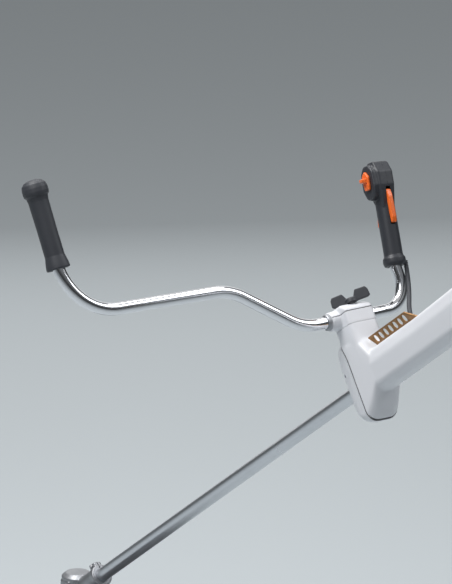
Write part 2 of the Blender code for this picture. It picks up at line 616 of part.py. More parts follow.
# ---- engine ----
def engine():
    shell = [(34, ARM_REAR - GAP), (58, -474), (70, -500), (72, -521), (66, -521), (66, -503), (54, -479),
             (40, -462), (TUBE_R + GAP, -457), (TUBE_R + GAP, ARM_REAR - GAP)]
    turned("clutch_housing", shell, "cast", direction=shaftAxis, closed=True)
    rear, front = CRANK_BLOCK
    case = block("crankcase", (rear, -38, -40), (front, 38, 40), "cast", bevel=6)
    plate = rod("crankcase_plate", 65.0, front - 7, front - 1, None, direction=shaftAxis, cutter=True)
    bore = rod("crank_bore", 12.6, -640, -500, None, direction=shaftAxis, cutter=True, steps=20)
    webRoom = rod("web_room", 25, -598, -552, None, direction=shaftAxis, cutter=True)
    barrel = rod("barrel_hole", 17, 0, 60, None, at=(-575, 0, 0), cutter=True)
    joined(case, [plate])
    cut(case, bore, webRoom, barrel)

    fins = []
    for k in range(4):
        z = 112 - k * 16
        fins += [(34, z), (34, z - 5), (24, z - 6), (24, z - 15)]
    profile = [(0, 118), (24, 118), *fins, (30, 46), (30, 40 + GAP), (17, 40 + GAP), (17, 104), (0, 104)]
    cylinder = turned("cylinder", profile, "cast", at=(-575, 0, 0))
    turned("spark_plug", [(0, 150), (8, 149), (9.5, 144), (9.5, 128), (8, 126), (8, 118 + GAP),
                          (0, 118 + GAP)], "grip",
           at=(-575, 0, 0), steps=16)

    shroud = block("engine_shroud", (-617, -50, 43), (-532, 50, 166), "casing", bevel=14, segments=3)
    inside = block("shroud_room", (-613.5, -46.5, 20), (-535.5, 46.5, 162.5), None, bevel=11, cutter=True)
    ports = rod("port_holes", 12.5, -80, 80, None, at=(-575, 0, 78), direction=(0, 1, 0), cutter=True,
                steps=20)
    cut(shroud, inside, ports)

    muffler = block("muffler", (-612, -92, 46), (-540, -54, 116), "steel", bevel=6)
    stub = rod("exhaust_stub", 10, 36, 60, None, at=(-575, 0, 78), direction=(0, -1, 0), cutter=True,
               steps=20)
    outlet = rod("exhaust_outlet", 5, 70, 110, None, at=(-600, 0, 60), direction=(0, -1, 0), cutter=True,
                 steps=16)
    chamber = block("muffler_chamber", (-609, -89, 49), (-543, -57, 113), None, bevel=4, cutter=True)
    joined(muffler, [stub])
    cut(muffler, chamber, outlet)
    carb = block("carburettor", (-597, 53, 60), (-553, 84, 96), "cast", bevel=2)
    intake = rod("intake_stub", 10, 36, 60, None, at=(-575, 0, 78), direction=(0, 1, 0), cutter=True,
                 steps=20)
    throat = rod("carb_throat", 6.5, 30, 110, None, at=(-575, 0, 78), direction=(0, 1, 0), cutter=True,
                 steps=16)
    joined(carb, [intake])
    cut(carb, throat)
    filterCover = block("air_filter_cover", (-618, 60, 38), (-548, 108, 116), "handle", bevel=9)
    cut(filterCover, block("filter_room", (-615, 40, 41), (-551, 105, 113), None, bevel=6, cutter=True))
    choke = frame_empty("choke_lever_axis", (-583, 96, 116), (0, 0, 0), root)
    lever = rod("choke_lever", 7, GAP, 5, "orange", parent=choke, steps=16)
    arm = block("choke_arm", (0, -3, GAP), (22, 3, 5), None, bevel=1, parent=choke, cutter=True)
    joined(lever, [arm])

    tank = block("fuel_tank", (rear, -60, -116), (-531, 60, TANK_TOP), "tank", bevel=14, segments=3)
    tankRoom = block("tank_room", (rear + 4, -56, -112), (-535, 56, TANK_TOP - 4), None, bevel=10,
                     cutter=True)
    neck = rod("tank_neck", 17, 46, 70, None, at=(-572, 0, -80), direction=(0, 1, 0), cutter=True, steps=20)
    filler = rod("tank_filler", 13, 40, 80, None, at=(-572, 0, -80), direction=(0, 1, 0), cutter=True,
                 steps=20)
    joined(tank, [neck])
    cut(tank, tankRoom)
    cut(tank, filler)
    cap = frame_empty("fuel_cap_axis", (-572, 70 + GAP, -80), along((0, 1, 0)), root)
    profile = [(0, 12), (19, 12), (21, 9), (21, 0), (12.4, 0), (12.4, -10), (0, -10)]
    turned("fuel_cap", profile, "handle", parent=cap, steps=24)

    crank = frame_empty("crankshaft_axis", (0, 0, 0), (0, 0, 0), root)
    profile = [(0, -502), (6, -502), (6, -556), (22, -556), (22, -594), (6, -594), (6, -690), (0, -690)]
    turned("crankshaft", profile, "steel", direction=shaftAxis, parent=crank)
    profile = [(46, -628), (50, -632), (50, -640), (46, -644), (6 + GAP, -644), (6 + GAP, -628)]
    turned("flywheel", profile, "cast", direction=shaftAxis, closed=True, parent=crank)
    shellOut = [(64, rear - 2), (66, rear - 8), (66, -676), (56, -694), (0, -694)]
    shellIn = [(0, -691), (54, -691), (63, -675), (63, rear - 2)]
    starter = turned("starter_cover", shellOut + shellIn, "handle", direction=shaftAxis, closed=True)
    cut(starter, rod("rope_hole", 3.4, 50, 80, None, at=(-657, 0, 0), direction=(0, 0.5, 0.87), cutter=True,
                     steps=16))
    pull = frame_empty("starter_grip_axis", (-657, 0, 0), along((0, 0.5, 0.87)), root)
    profile = [(0, 92), (2.4, 92), (2.4, 55), (0, 55)]
    grip = turned("starter_grip", profile, "handle", parent=pull, steps=12)
    handle = block("starter_bar", (-7, -24, 68), (7, 24, 86), None, bevel=4, parent=pull, cutter=True)
    joined(grip, [handle])


# ---- gear head, guard and line head ----
def cutting_end(drive):
    level = frame_empty("head_frame", (HEAD_X, 0, 0), (0, -tilt, 0), root)
    down = Vector((math.sin(tilt), 0, -math.cos(tilt)))

    sleeve = rod("gear_head", 19, -98, -20, "cast", at=(HEAD_X, 0, 0), direction=shaftAxis)
    barrel = turned("head_barrel", [(0, 41), (22, 41), (29, 34), (29, -28), (38, -28), (38, -33),
                                    (30, -33), (27, -36.5),
                                    (0, -36.5)], None, parent=level, cutter=True)
    room = turned("head_room", [(0, 37), (25.4, 37), (25.4, -6), (14.1, -6), (14.1, -60), (0, -60)], None,
                  parent=level, cutter=True)
    tube = rod("head_socket", TUBE_R + GAP, -110, -60, None, at=(HEAD_X, 0, 0), direction=shaftAxis,
               cutter=True)
    seat = rod("bearing_seat", 14.1, -56, -10, None, at=(HEAD_X, 0, 0), direction=shaftAxis, cutter=True)
    bore = rod("shaft_pass", 6, -80, -20, None, at=(HEAD_X, 0, 0), direction=shaftAxis, cutter=True,
               steps=16)
    joined(sleeve, [barrel])
    cut(sleeve, tube, seat, bore, room)

    pinionAngle = math.radians(20)
    gearAngle = math.radians(35)
    big, small = 40.4, 25.5

    def cone(angle, distance):
        return distance * math.cos(angle), (distance * math.sin(angle)) - 0.45 / math.cos(angle)

    near, rNear = cone(pinionAngle, small)
    far, rFar = cone(pinionAngle, big)
    profile = [(rNear, HEAD_X - near), (rFar, HEAD_X - far), (DRIVE_R + GAP, HEAD_X - far),
               (DRIVE_R + GAP, HEAD_X - near)]
    turned("bevel_pinion", profile, "steel", direction=shaftAxis, closed=True, parent=drive, steps=20)
    ring("pinion_bearing", DRIVE_R + GAP, 13.8, HEAD_X - 53, HEAD_X - 43, "steel", direction=shaftAxis,
         steps=20)

    spin = frame_empty("head_spin_axis", (0, 0, 0), (0, 0, 0), level)
    near, rNear = cone(gearAngle, small)
    far, rFar = cone(gearAngle, big)
    profile = [(rFar - 2, far + 2), (rFar, far), (rNear, near), (5.3, near), (5.3, far + 2)]
    turned("bevel_gear", profile, "steel", closed=True, parent=spin, steps=28)
    rod("output_shaft", 5, -72, 35, "steel", parent=spin, steps=20)
    ring("output_bearing", 5.3, 13.8, -18, -8, "steel", parent=level, steps=20)

    shell = [(20, -42.4), (44, -45), (54, -52), (57, -62), (57, -79), (53.5, -79), (53.5, -62), (51, -54),
             (44, -49), (9, -48), (9, -52), (5.3, -52), (5.3, -42.4)]
    head = turned("line_head", shell, "handle", closed=True, parent=spin)
    for sign in (1, -1):
        side_name = "a" if sign > 0 else "b"
        eye = rod("eyelet_" + side_name, 2.4, 40, 70, None, at=(0, 0, -70), direction=(0, sign, 0),
                  parent=spin,
                  cutter=True, steps=12)
        cut(head, eye)
        path = [(-0.0006 * (50 - r) * r * 0.4, sign * r, -70 - (r - 50) * 0.05) for r in range(49, 180, 13)]
        line = pipe("cutting_line_" + side_name, path, 1.2, "line", resolution=2, parent=spin)
        line.data.use_fill_caps = True
    cover = [(57, -79.3), (57, -84), (50, -90), (27, -92), (27, -88), (46, -86), (53, -82), (53, -79.3)]
    turned("line_head_cover", cover, "handle", closed=True, parent=spin)

    tap = frame_empty("tap_button_axis", (0, 0, 0), (0, 0, 0), spin)
    spool = [(48, -57), (48, -59.5), (26, -60), (26, -78), (48, -78.5), (48, -81), (20, -81), (10, -78),
             (10, -57)]
    turned("line_spool", spool, "orange", closed=True, parent=tap)
    button = [(0, -81.3), (19, -81.3), (25, -84), (25, -98), (22, -104), (12, -107), (0, -107)]
    turned("tap_button", button, "handle", parent=tap)

    guard_and_blade(level)
    return down


def guard_and_blade(level):
    outer, inner, drop = 232.0, 30.0, 46.0
    top = -33.0 - GAP
    first, last = math.radians(112), math.radians(248)
    steps = 14

    def arc(radius, start, end):
        return [(radius * math.cos(start + (end - start) * k / steps),
                 radius * math.sin(start + (end - start) * k / steps))
                for k in range(steps + 1)]

    plate = prism("guard", arc(outer, first, last) + arc(inner, last, first), top, top - 3, "Z", "handle",
                  parent=level)
    rim = prism("guard_rim", arc(outer, first, last) + arc(outer - 3, last, first), top, top - drop, "Z",
                None,
                parent=level, cutter=True)
    joined(plate, [rim])
    for n, angle in enumerate((150, 210)):
        turn = math.radians(angle)
        place = (34.0 * math.cos(turn), 34.0 * math.sin(turn), top)
        hole = rod(f"guard_hole_{n}", 1.9, -12, 14, None, at=place, parent=level, cutter=True, steps=12)
        cut(plate, hole)
        cut(bpy.data.objects["gear_head"], hole)
        profile = [(0, 9), (2.9, 9), (2.9, 5.8), (1.6, 5.8), (1.6, -2.8), (0, -2.8)]
        turned(f"guard_screw_{n + 1}", profile, "steel", at=place, parent=level, steps=12)
    turn = first + math.radians(6)
    radial = Matrix.Rotation(turn, 4, "Z").to_euler()
    block("line_cutter", (outer - 36, -1.0, top - drop + 4), (outer - 5, 1.0, top - 10), "steel",
          parent=level, rotation=radial)


drive = drive_line()
casing()
harness_rail()
handlebar()
engine()
cutting_end(drive)
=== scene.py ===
import json
import math

import bmesh
import bpy
from mathutils import Matrix, Vector


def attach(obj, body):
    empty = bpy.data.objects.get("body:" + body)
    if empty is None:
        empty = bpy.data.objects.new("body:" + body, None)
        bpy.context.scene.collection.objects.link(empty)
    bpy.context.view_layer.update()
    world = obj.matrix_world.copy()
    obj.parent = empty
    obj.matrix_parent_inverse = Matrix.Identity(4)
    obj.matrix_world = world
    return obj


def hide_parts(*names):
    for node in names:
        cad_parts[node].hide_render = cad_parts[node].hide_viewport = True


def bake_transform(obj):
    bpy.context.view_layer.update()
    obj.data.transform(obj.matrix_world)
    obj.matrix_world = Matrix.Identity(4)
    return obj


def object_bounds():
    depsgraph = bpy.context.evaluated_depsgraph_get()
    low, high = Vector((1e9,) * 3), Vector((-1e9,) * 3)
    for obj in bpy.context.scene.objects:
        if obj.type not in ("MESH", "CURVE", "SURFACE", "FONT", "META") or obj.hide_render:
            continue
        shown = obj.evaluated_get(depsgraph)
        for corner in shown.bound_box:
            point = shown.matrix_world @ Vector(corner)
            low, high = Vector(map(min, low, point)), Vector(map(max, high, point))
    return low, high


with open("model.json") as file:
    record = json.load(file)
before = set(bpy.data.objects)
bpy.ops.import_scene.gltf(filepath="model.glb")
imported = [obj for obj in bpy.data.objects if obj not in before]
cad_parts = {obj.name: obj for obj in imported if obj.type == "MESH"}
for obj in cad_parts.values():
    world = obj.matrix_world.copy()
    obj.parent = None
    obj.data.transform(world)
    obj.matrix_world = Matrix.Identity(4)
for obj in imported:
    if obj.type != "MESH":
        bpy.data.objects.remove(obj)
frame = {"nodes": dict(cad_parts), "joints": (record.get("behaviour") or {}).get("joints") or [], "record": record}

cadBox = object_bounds()
scene = bpy.context.scene
mm = 0.001
tau = math.tau
shaftLine = (1, 0, 0)

# where things are: millimetre axes of the machine, the control handle and the line head
joints = {joint["name"]: joint for joint in frame["joints"]}


def jointPlace(name):
    return Vector(joints[name]["pos_m"])


def jointAxis(name):
    return Vector(joints[name]["axis"]).normalized()


def placedAxes(ahead, left, up, origin):
    turn = Matrix((ahead, left, up)).transposed().to_4x4()
    return Matrix.Translation(origin) @ turn @ Matrix.Scale(mm, 4)


ahead = jointAxis("drive_shaft_spin")
up = jointAxis("handlebar_swivel")
machine = placedAxes(ahead, up.cross(ahead), up, jointPlace("drive_shaft_spin"))
toMachine = machine.inverted()

triggerPivot = Vector((7, 0, 104))
lockoutPivot = Vector((-9, 0, 128))
sliderMiddle = Vector((2, 27, 151))
handleLeft = jointAxis("throttle_trigger_pull")
handleUp = jointAxis("stop_slider_slide")
handleAhead = handleLeft.cross(handleUp)
handleFoot = jointPlace("throttle_trigger_pull") - (handleAhead * triggerPivot.x +
                                                    handleUp * triggerPivot.z) * mm
handle = placedAxes(handleAhead, handleLeft, handleUp, handleFoot)
headAxes = placedAxes(Vector((1, 0, 0)), Vector((0, 1, 0)), Vector((0, 0, 1)), jointPlace("line_head_spin"))


def facing(direction, at=(0, 0, 0)):
    turn = Vector(direction).to_track_quat("Z", "Y").to_matrix().to_4x4()
    return Matrix.Translation(Vector(at)) @ turn


# finishes
def socketGroup(name, inputs, outputs):
    group = bpy.data.node_groups.new(name, "ShaderNodeTree")
    for label, kind, value in inputs:
        socket = group.interface.new_socket(label, in_out="INPUT", socket_type=kind)
        if value is not None:
            socket.default_value = value
    for label, kind in outputs:
        group.interface.new_socket(label, in_out="OUTPUT", socket_type=kind)
    start = group.nodes.new("NodeGroupInput")
    end = group.nodes.new("NodeGroupOutput")
    return group, start, end


def makeGrainGroup():
    # fine texture for the bump, and slow patches for colour and gloss
    group, start, end = socketGroup(
        "surfaceGrain",
        [("Vector", "NodeSocketVector", None), ("Grain Scale", "NodeSocketFloat", 900.0),
         ("Patch Scale", "NodeSocketFloat", 14.0)],
        [("Grain", "NodeSocketFloat"), ("Patch", "NodeSocketFloat")])
    grain = group.nodes.new("ShaderNodeTexNoise")
    grain.inputs["Detail"].default_value = 3.0
    patch = group.nodes.new("ShaderNodeTexNoise")
    patch.inputs["Detail"].default_value = 5.0
    patch.inputs["Roughness"].default_value = 0.6
    link = group.links.new
    link(start.outputs["Vector"], grain.inputs["Vector"])
    link(start.outputs["Vector"], patch.inputs["Vector"])
    link(start.outputs["Grain Scale"], grain.inputs["Scale"])
    link(start.outputs["Patch Scale"], patch.inputs["Scale"])
    link(grain.outputs["Fac"], end.inputs["Grain"])
    link(patch.outputs["Fac"], end.inputs["Patch"])
    return group


def makeScuffGroup():
    # thin stretched marks, 0 to 1
    group, start, end = socketGroup(
        "fineScuffs",
        [("Vector", "NodeSocketVector", None), ("Scale", "NodeSocketFloat", 60.0),
         ("Amount", "NodeSocketFloat", 0.3)],
        [("Mask", "NodeSocketFloat")])
    warp = group.nodes.new("ShaderNodeMapping")
    warp.inputs["Scale"].default_value = (1.0, 9.0, 1.6)
    warp.inputs["Rotation"].default_value = (0.3, 0.5, 0.9)
    noise = group.nodes.new("ShaderNodeTexNoise")
    noise.inputs["Detail"].default_value = 6.0
    ramp = group.nodes.new("ShaderNodeMapRange")
    ramp.inputs["From Min"].default_value = 0.6
    ramp.inputs["From Max"].default_value = 0.74
    scale = group.nodes.new("ShaderNodeMath")
    scale.operation = "MULTIPLY"
    link = group.links.new
    link(start.outputs["Vector"], warp.inputs["Vector"])
    link(warp.outputs["Vector"], noise.inputs["Vector"])
    link(start.outputs["Scale"], noise.inputs["Scale"])
    link(noise.outputs["Fac"], ramp.inputs["Value"])
    link(ramp.outputs["Result"], scale.inputs[0])
    link(start.outputs["Amount"], scale.inputs[1])
    link(scale.outputs["Value"], end.inputs["Mask"])
    return group


grainGroup = makeGrainGroup()
scuffGroup = makeScuffGroup()


def makeFinish(name, colour, other, roughness, glossSwing=0.08, metallic=0.0, grainScale=900.0,
               patchScale=14.0,
               bump=0.15, depth=0.0002, scuffs=0.1, coat=0.0, stretch=(1, 1, 1), along=False, subsurface=0.0):
    finish = bpy.data.materials.new(name)
    finish.use_nodes = True
    nodes = finish.node_tree.nodes
    link = finish.node_tree.links.new
    shader = nodes["Principled BSDF"]
    shader.inputs["Metallic"].default_value = metallic
    shader.inputs["Coat Weight"].default_value = coat
    shader.inputs["Coat Roughness"].default_value = 0.12
    if subsurface:
        shader.inputs["Subsurface Weight"].default_value = subsurface
        shader.inputs["Subsurface Radius"].default_value = (0.004, 0.004, 0.003)
    place = nodes.new("ShaderNodeTexCoord")
    mapping = nodes.new("ShaderNodeMapping")
    mapping.inputs["Scale"].default_value = stretch
    if along:  # the pattern's X runs along the drive tube
        mapping.vector_type = "TEXTURE"
        mapping.inputs["Rotation"].default_value = (0.0, math.atan2(-ahead.z, ahead.x), 0.0)
    grain = nodes.new("ShaderNodeGroup")
    grain.node_tree = grainGroup
    grain.inputs["Grain Scale"].default_value = grainScale
    grain.inputs["Patch Scale"].default_value = patchScale
    scuff = nodes.new("ShaderNodeGroup")
    scuff.node_tree = scuffGroup
    scuff.inputs["Amount"].default_value = scuffs
    tint = nodes.new("ShaderNodeMix")
    tint.data_type = "RGBA"
    tint.inputs["A"].default_value = (*colour, 1.0)
    tint.inputs["B"].default_value = (*other, 1.0)
    gloss = nodes.new("ShaderNodeMapRange")
    gloss.inputs["From Min"].default_value = 0.3
    gloss.inputs["From Max"].default_value = 0.7
    gloss.inputs["To Min"].default_value = roughness - glossSwing
    gloss.inputs["To Max"].default_value = roughness + glossSwing
    worn = nodes.new("ShaderNodeMath")
    worn.operation = "ADD"
    worn.use_clamp = True
    relief = nodes.new("ShaderNodeBump")
    relief.inputs["Strength"].default_value = bump
    relief.inputs["Distance"].default_value = depth
    link(place.outputs["Object"], mapping.inputs["Vector"])
    link(mapping.outputs["Vector"], grain.inputs["Vector"])
    link(place.outputs["Object"], scuff.inputs["Vector"])
    link(grain.outputs["Patch"], tint.inputs["Factor"])
    link(tint.outputs["Result"], shader.inputs["Base Color"])
    link(grain.outputs["Patch"], gloss.inputs["Value"])
    link(gloss.outputs["Result"], worn.inputs[0])
    link(scuff.outputs["Mask"], worn.inputs[1])
    link(worn.outputs["Value"], shader.inputs["Roughness"])
    link(grain.outputs["Grain"], relief.inputs["Height"])
    link(relief.outputs["Normal"], shader.inputs["Normal"])
    return finish


finishes = {
    "casing": makeFinish("satinCasing", (0.80, 0.81, 0.845), (0.765, 0.775, 0.81), 0.38, grainScale=1400,
                         patchScale=9, bump=0.06, scuffs=0.06, coat=0.1),
    "rubber": makeFinish("mattRubber", (0.032, 0.035, 0.043), (0.05, 0.054, 0.063), 0.5, grainScale=1600,
                         bump=0.3, scuffs=0.15),
    "handle": makeFinish("texturedPlastic", (0.026, 0.029, 0.036), (0.04, 0.043, 0.051), 0.4, grainScale=1900,
                         bump=0.35, scuffs=0.18),
    "orange": makeFinish("orangePlastic", (0.86, 0.13, 0.018), (0.92, 0.19, 0.03), 0.3, glossSwing=0.05,
                         grainScale=1200, bump=0.08, coat=0.15),
    "chrome": makeFinish("polishedChrome", (0.83, 0.84, 0.86), (0.78, 0.79, 0.82), 0.13, glossSwing=0.03,
                         metallic=1.0, grainScale=500, patchScale=30, bump=0.015, scuffs=0.05),
    "steel": makeFinish("platedSteel", (0.55, 0.55, 0.56), (0.42, 0.42, 0.44), 0.3, metallic=1.0,
                        grainScale=1500,
                        patchScale=60, bump=0.1, scuffs=0.15),
    "alloy": makeFinish("brushedTube", (0.66, 0.68, 0.71), (0.56, 0.58, 0.61), 0.3, glossSwing=0.06,
                        metallic=1.0,
                        grainScale=40, patchScale=3, bump=0.12, depth=0.0001, stretch=(0.6, 24, 24),
                        along=True),
    "cast": makeFinish("dieCastAlloy", (0.42, 0.43, 0.45), (0.33, 0.34, 0.36), 0.48, metallic=0.9,
                       grainScale=700,
                       patchScale=40, bump=0.4, scuffs=0.12),
    "rail": makeFinish("yellowPassivated", (0.36, 0.2, 0.085), (0.22, 0.12, 0.055), 0.34, metallic=0.85,
                       grainScale=600, patchScale=90, bump=0.15, scuffs=0.2),
    "tank": makeFinish("milkyTank", (0.72, 0.72, 0.68), (0.62, 0.62, 0.57), 0.38, grainScale=1200, bump=0.1,
                       subsurface=0.15),
    "line": makeFinish("nylonLine", (0.85, 0.24, 0.03), (0.7, 0.16, 0.02), 0.35, bump=0.05),
    "bronze": makeFinish("sinteredBronze", (0.5, 0.33, 0.15), (0.38, 0.24, 0.1), 0.42, metallic=1.0,
                         bump=0.3),
    "seal": makeFinish("darkSeal", (0.03, 0.032, 0.036), (0.045, 0.047, 0.05), 0.6, bump=0.1),
}
print("finishes made:", len(finishes))


# modelling helpers, all in millimetres
def spun(profile, steps=64, closed=False):
    bm = bmesh.new()
    verts = [bm.verts.new((radius, 0, height)) for radius, height in profile]
    edges = [bm.edges.new(pair) for pair in zip(verts, verts[1:])]
    if closed:
        edges.append(bm.edges.new((verts[-1], verts[0])))
    bmesh.ops.spin(bm, geom=verts + edges, cent=(0, 0, 0), axis=(0, 0, 1), angle=tau, steps=steps,
                   use_merge=True)
    bmesh.ops.remove_doubles(bm, verts=bm.verts, dist=0.001)
    bmesh.ops.recalc_face_normals(bm, faces=bm.faces)
    return bm


def rod(radius, low, high, steps=48, chamfer=0.0):
    if chamfer:
        profile = [(0, high), (radius - chamfer, high), (radius, high - chamfer), (radius, low + chamfer),
                   (radius - chamfer, low), (0, low)]
    else:
        profile = [(0, high), (radius, high), (radius, low), (0, low)]
    return spun(profile, steps)


def block(low, high):
    bm = bmesh.new()
    bmesh.ops.create_cube(bm, size=1.0)
    low, high = Vector(low), Vector(high)
    bmesh.ops.scale(bm, vec=high - low, verts=bm.verts)
    bmesh.ops.translate(bm, vec=(low + high) / 2, verts=bm.verts)
    return bm


def prism(outline, low, high, axis):
    bm = bmesh.new()
    index = "XYZ".index(axis)
    verts = []
    for first, second in outline:
        place = [first, second]
        place.insert(index, low)
        verts.append(bm.verts.new(place))
    made = bmesh.ops.extrude_face_region(bm, geom=[bm.faces.new(verts)])["geom"]
    shift = Vector((0, 0, 0))
    shift[index] = high - low
    bmesh.ops.translate(bm, vec=shift, verts=[item for item in made if isinstance(item, bmesh.types.BMVert)])
    bmesh.ops.recalc_face_normals(bm, faces=bm.faces)
    return bm


def loft(outline, stations):
    # a YZ outline carried along X; each station is (x, scale across, scale up, shift up)
    bm = bmesh.new()
    x, across, rise, shift = stations[0]
    face = bm.faces.new([bm.verts.new((x, y * across, z * rise + shift)) for y, z in outline])
    inner = False
    for x, nextAcross, nextRise, nextShift in stations[1:]:
        start = face
        made = bmesh.ops.extrude_face_region(bm, geom=[start])["geom"]
        face = [item for item in made if isinstance(item, bmesh.types.BMFace)][0]
        if inner and start.is_valid:
            bm.faces.remove(start)
        inner = True
        for vert in face.verts:
            vert.co = (x, vert.co.y / across * nextAcross, (vert.co.z - shift) / rise * nextRise + nextShift)
        across, rise, shift = nextAcross, nextRise, nextShift
    bmesh.ops.recalc_face_normals(bm, faces=bm.faces)
    return bm


def roundedOutline(corners, radius, steps=6):
    outline = []
    count = len(corners)
    for i in range(count):
        here = Vector(corners[i])
        toBack = Vector(corners[i - 1]) - here
        toNext = Vector(corners[(i + 1) % count]) - here
        half = toBack.angle(toNext) / 2
        reach = min(radius / math.tan(half), toBack.length * 0.48, toNext.length * 0.48)
        size = reach * math.tan(half)
        middle = here + (toBack.normalized() + toNext.normalized()).normalized() * size / math.sin(half)
        start = here + toBack.normalized() * reach - middle
        end = here + toNext.normalized() * reach - middle
        for k in range(steps + 1):
            outline.append(tuple(middle + start.lerp(end, k / steps).normalized() * size))
    return outline


def easedProfile(profile, radius, steps=4):
    # an open profile with its inner corners rounded
    eased = [profile[0]]
    for i in range(1, len(profile) - 1):
        here = Vector(profile[i])
        toBack = Vector(profile[i - 1]) - here
        toNext = Vector(profile[i + 1]) - here
        half = toBack.angle(toNext) / 2
        reach = min(radius / math.tan(half), toBack.length * 0.45, toNext.length * 0.45) if half < 1.5 else 0
        if reach < 0.02:
            eased.append(profile[i])
            continue
        size = reach * math.tan(half)
        middle = here + (toBack.normalized() + toNext.normalized()).normalized() * size / math.sin(half)
        start = here + toBack.normalized() * reach - middle
        end = here + toNext.normalized() * reach - middle
        for k in range(steps + 1):
            eased.append(tuple(middle + start.lerp(end, k / steps).normalized() * size))
    eased.append(profile[-1])
    return eased


def bevelled(bm, width, segments=3, over=30):
    edges = [edge for edge in bm.edges
             if len(edge.link_faces) == 2 and edge.calc_face_angle(0) > math.radians(over)]
    bmesh.ops.bevel(bm, geom=edges, offset=width, offset_type="OFFSET", segments=segments, profile=0.5,
                    affect="EDGES", clamp_overlap=True, material=-1)
    return bm


def moved(bm, matrix):
    bmesh.ops.transform(bm, matrix=matrix, verts=bm.verts)
    return bm


def standIn(bm, name):
    mesh = bpy.data.meshes.new(name)
    bm.to_mesh(mesh)
    bm.free()
    helper = bpy.data.objects.new(name, mesh)
    scene.collection.objects.link(helper)
    return helper


def evaluatedCopy(helper):
    bpy.context.view_layer.update()
    evaluated = helper.evaluated_get(bpy.context.evaluated_depsgraph_get())
    mesh = bpy.data.meshes.new_from_object(evaluated)
    bm = bmesh.new()
    bm.from_mesh(mesh)
    bpy.data.meshes.remove(mesh)
    return bm


def carved(solids, cuts=()):
    # the solids joined, less the cuts
    base = standIn(solids[0], "base")
    helpers = [base]
    for operation, group in (("UNION", solids[1:]), ("DIFFERENCE", cuts)):
        for shape in group:
            other = standIn(shape, "other")
            helpers.append(other)
            step = base.modifiers.new("step", "BOOLEAN")
            step.operation = operation
            step.object = other
            step.solver = "EXACT"
    bm = evaluatedCopy(base)
    for helper in helpers:
        bpy.data.objects.remove(helper, do_unlink=True)
    return bm


def moulded(shapes, voxel, passes):
    # one even skin over overlapping shapes, smoothed until its edges are as round as moulded plastic
    whole = bmesh.new()
    for shape in shapes:
        mesh = bpy.data.meshes.new("shape")
        shape.to_mesh(mesh)
        shape.free()
        whole.from_mesh(mesh)
        bpy.data.meshes.remove(mesh)
    helper = standIn(whole, "moulding")
    skin = helper.modifiers.new("skin", "REMESH")
    skin.mode = "VOXEL"
    skin.voxel_size = voxel
    bm = evaluatedCopy(helper)
    bpy.data.objects.remove(helper, do_unlink=True)
    for _ in range(passes):
        bmesh.ops.smooth_vert(bm, verts=bm.verts, factor=0.5, use_axis_x=True, use_axis_y=True,
                              use_axis_z=True)
    return bm


def keptSide(bm, place, normal):
    # cuts the shape by a plane, keeps what lies behind the normal and closes the cut
    bmesh.ops.bisect_plane(bm, geom=bm.verts[:] + bm.edges[:] + bm.faces[:], plane_co=place, plane_no=normal,
                           clear_outer=True, dist=0.0001)
    rim = [edge for edge in bm.edges if edge.is_boundary]
    bmesh.ops.holes_fill(bm, edges=rim)
    return bm


def addPiece(name, bm, axes, finish, body, stands=(), sharp=38):
    moved(bm, axes)
    bmesh.ops.remove_doubles(bm, verts=bm.verts, dist=0.0000005)
    bmesh.ops.recalc_face_normals(bm, faces=bm.faces)
    mesh = bpy.data.meshes.new(name)
    bm.to_mesh(mesh)
    bm.free()
    mesh.shade_smooth()
    mesh.set_sharp_from_angle(angle=math.radians(sharp))
    piece = bpy.data.objects.new(name, mesh)
    scene.collection.objects.link(piece)
    mesh.materials.append(finishes[finish])
    if stands:
        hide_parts(*stands)
    if body:
        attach(piece, body)
    return piece


def pipe(path, radius, sides=10, widths=None):
    curve = bpy.data.curves.new("pipe", "CURVE")
    curve.dimensions = "3D"
    curve.bevel_depth = radius
    curve.bevel_resolution = sides
    curve.use_fill_caps = True
    spline = curve.splines.new("POLY")
    spline.points.add(len(path) - 1)
    for i, place in enumerate(path):
        spline.points[i].co = (*place, 1.0)
        spline.points[i].radius = widths[i] if widths else 1.0
    helper = bpy.data.objects.new("pipe", curve)
    scene.collection.objects.link(helper)
    bm = evaluatedCopy(helper)
    bpy.data.objects.remove(helper, do_unlink=True)
    bmesh.ops.remove_doubles(bm, verts=bm.verts, dist=0.001)
    bmesh.ops.recalc_face_normals(bm, faces=bm.faces)
    return bm


def bentPath(corners, radii, steps=16):
    path = [Vector(corners[0])]
    for i in range(1, len(corners) - 1):
        here = Vector(corners[i])
        toBack = (Vector(corners[i - 1]) - here).normalized()
        toNext = (Vector(corners[i + 1]) - here).normalized()
        half = toBack.angle(toNext) / 2
        reach = radii[i - 1] / math.tan(half)
        middle = here + (toBack + toNext).normalized() * radii[i - 1] / math.sin(half)
        start = here + toBack * reach - middle
        end = here + toNext * reach - middle
        sweep = start.angle(end)
        for k in range(steps + 1):
            share = k / steps
            first = math.sin((1 - share) * sweep) / math.sin(sweep)
            second = math.sin(share * sweep) / math.sin(sweep)
            path.append(middle + start * first + end * second)
    path.append(Vector(corners[-1]))
    return path


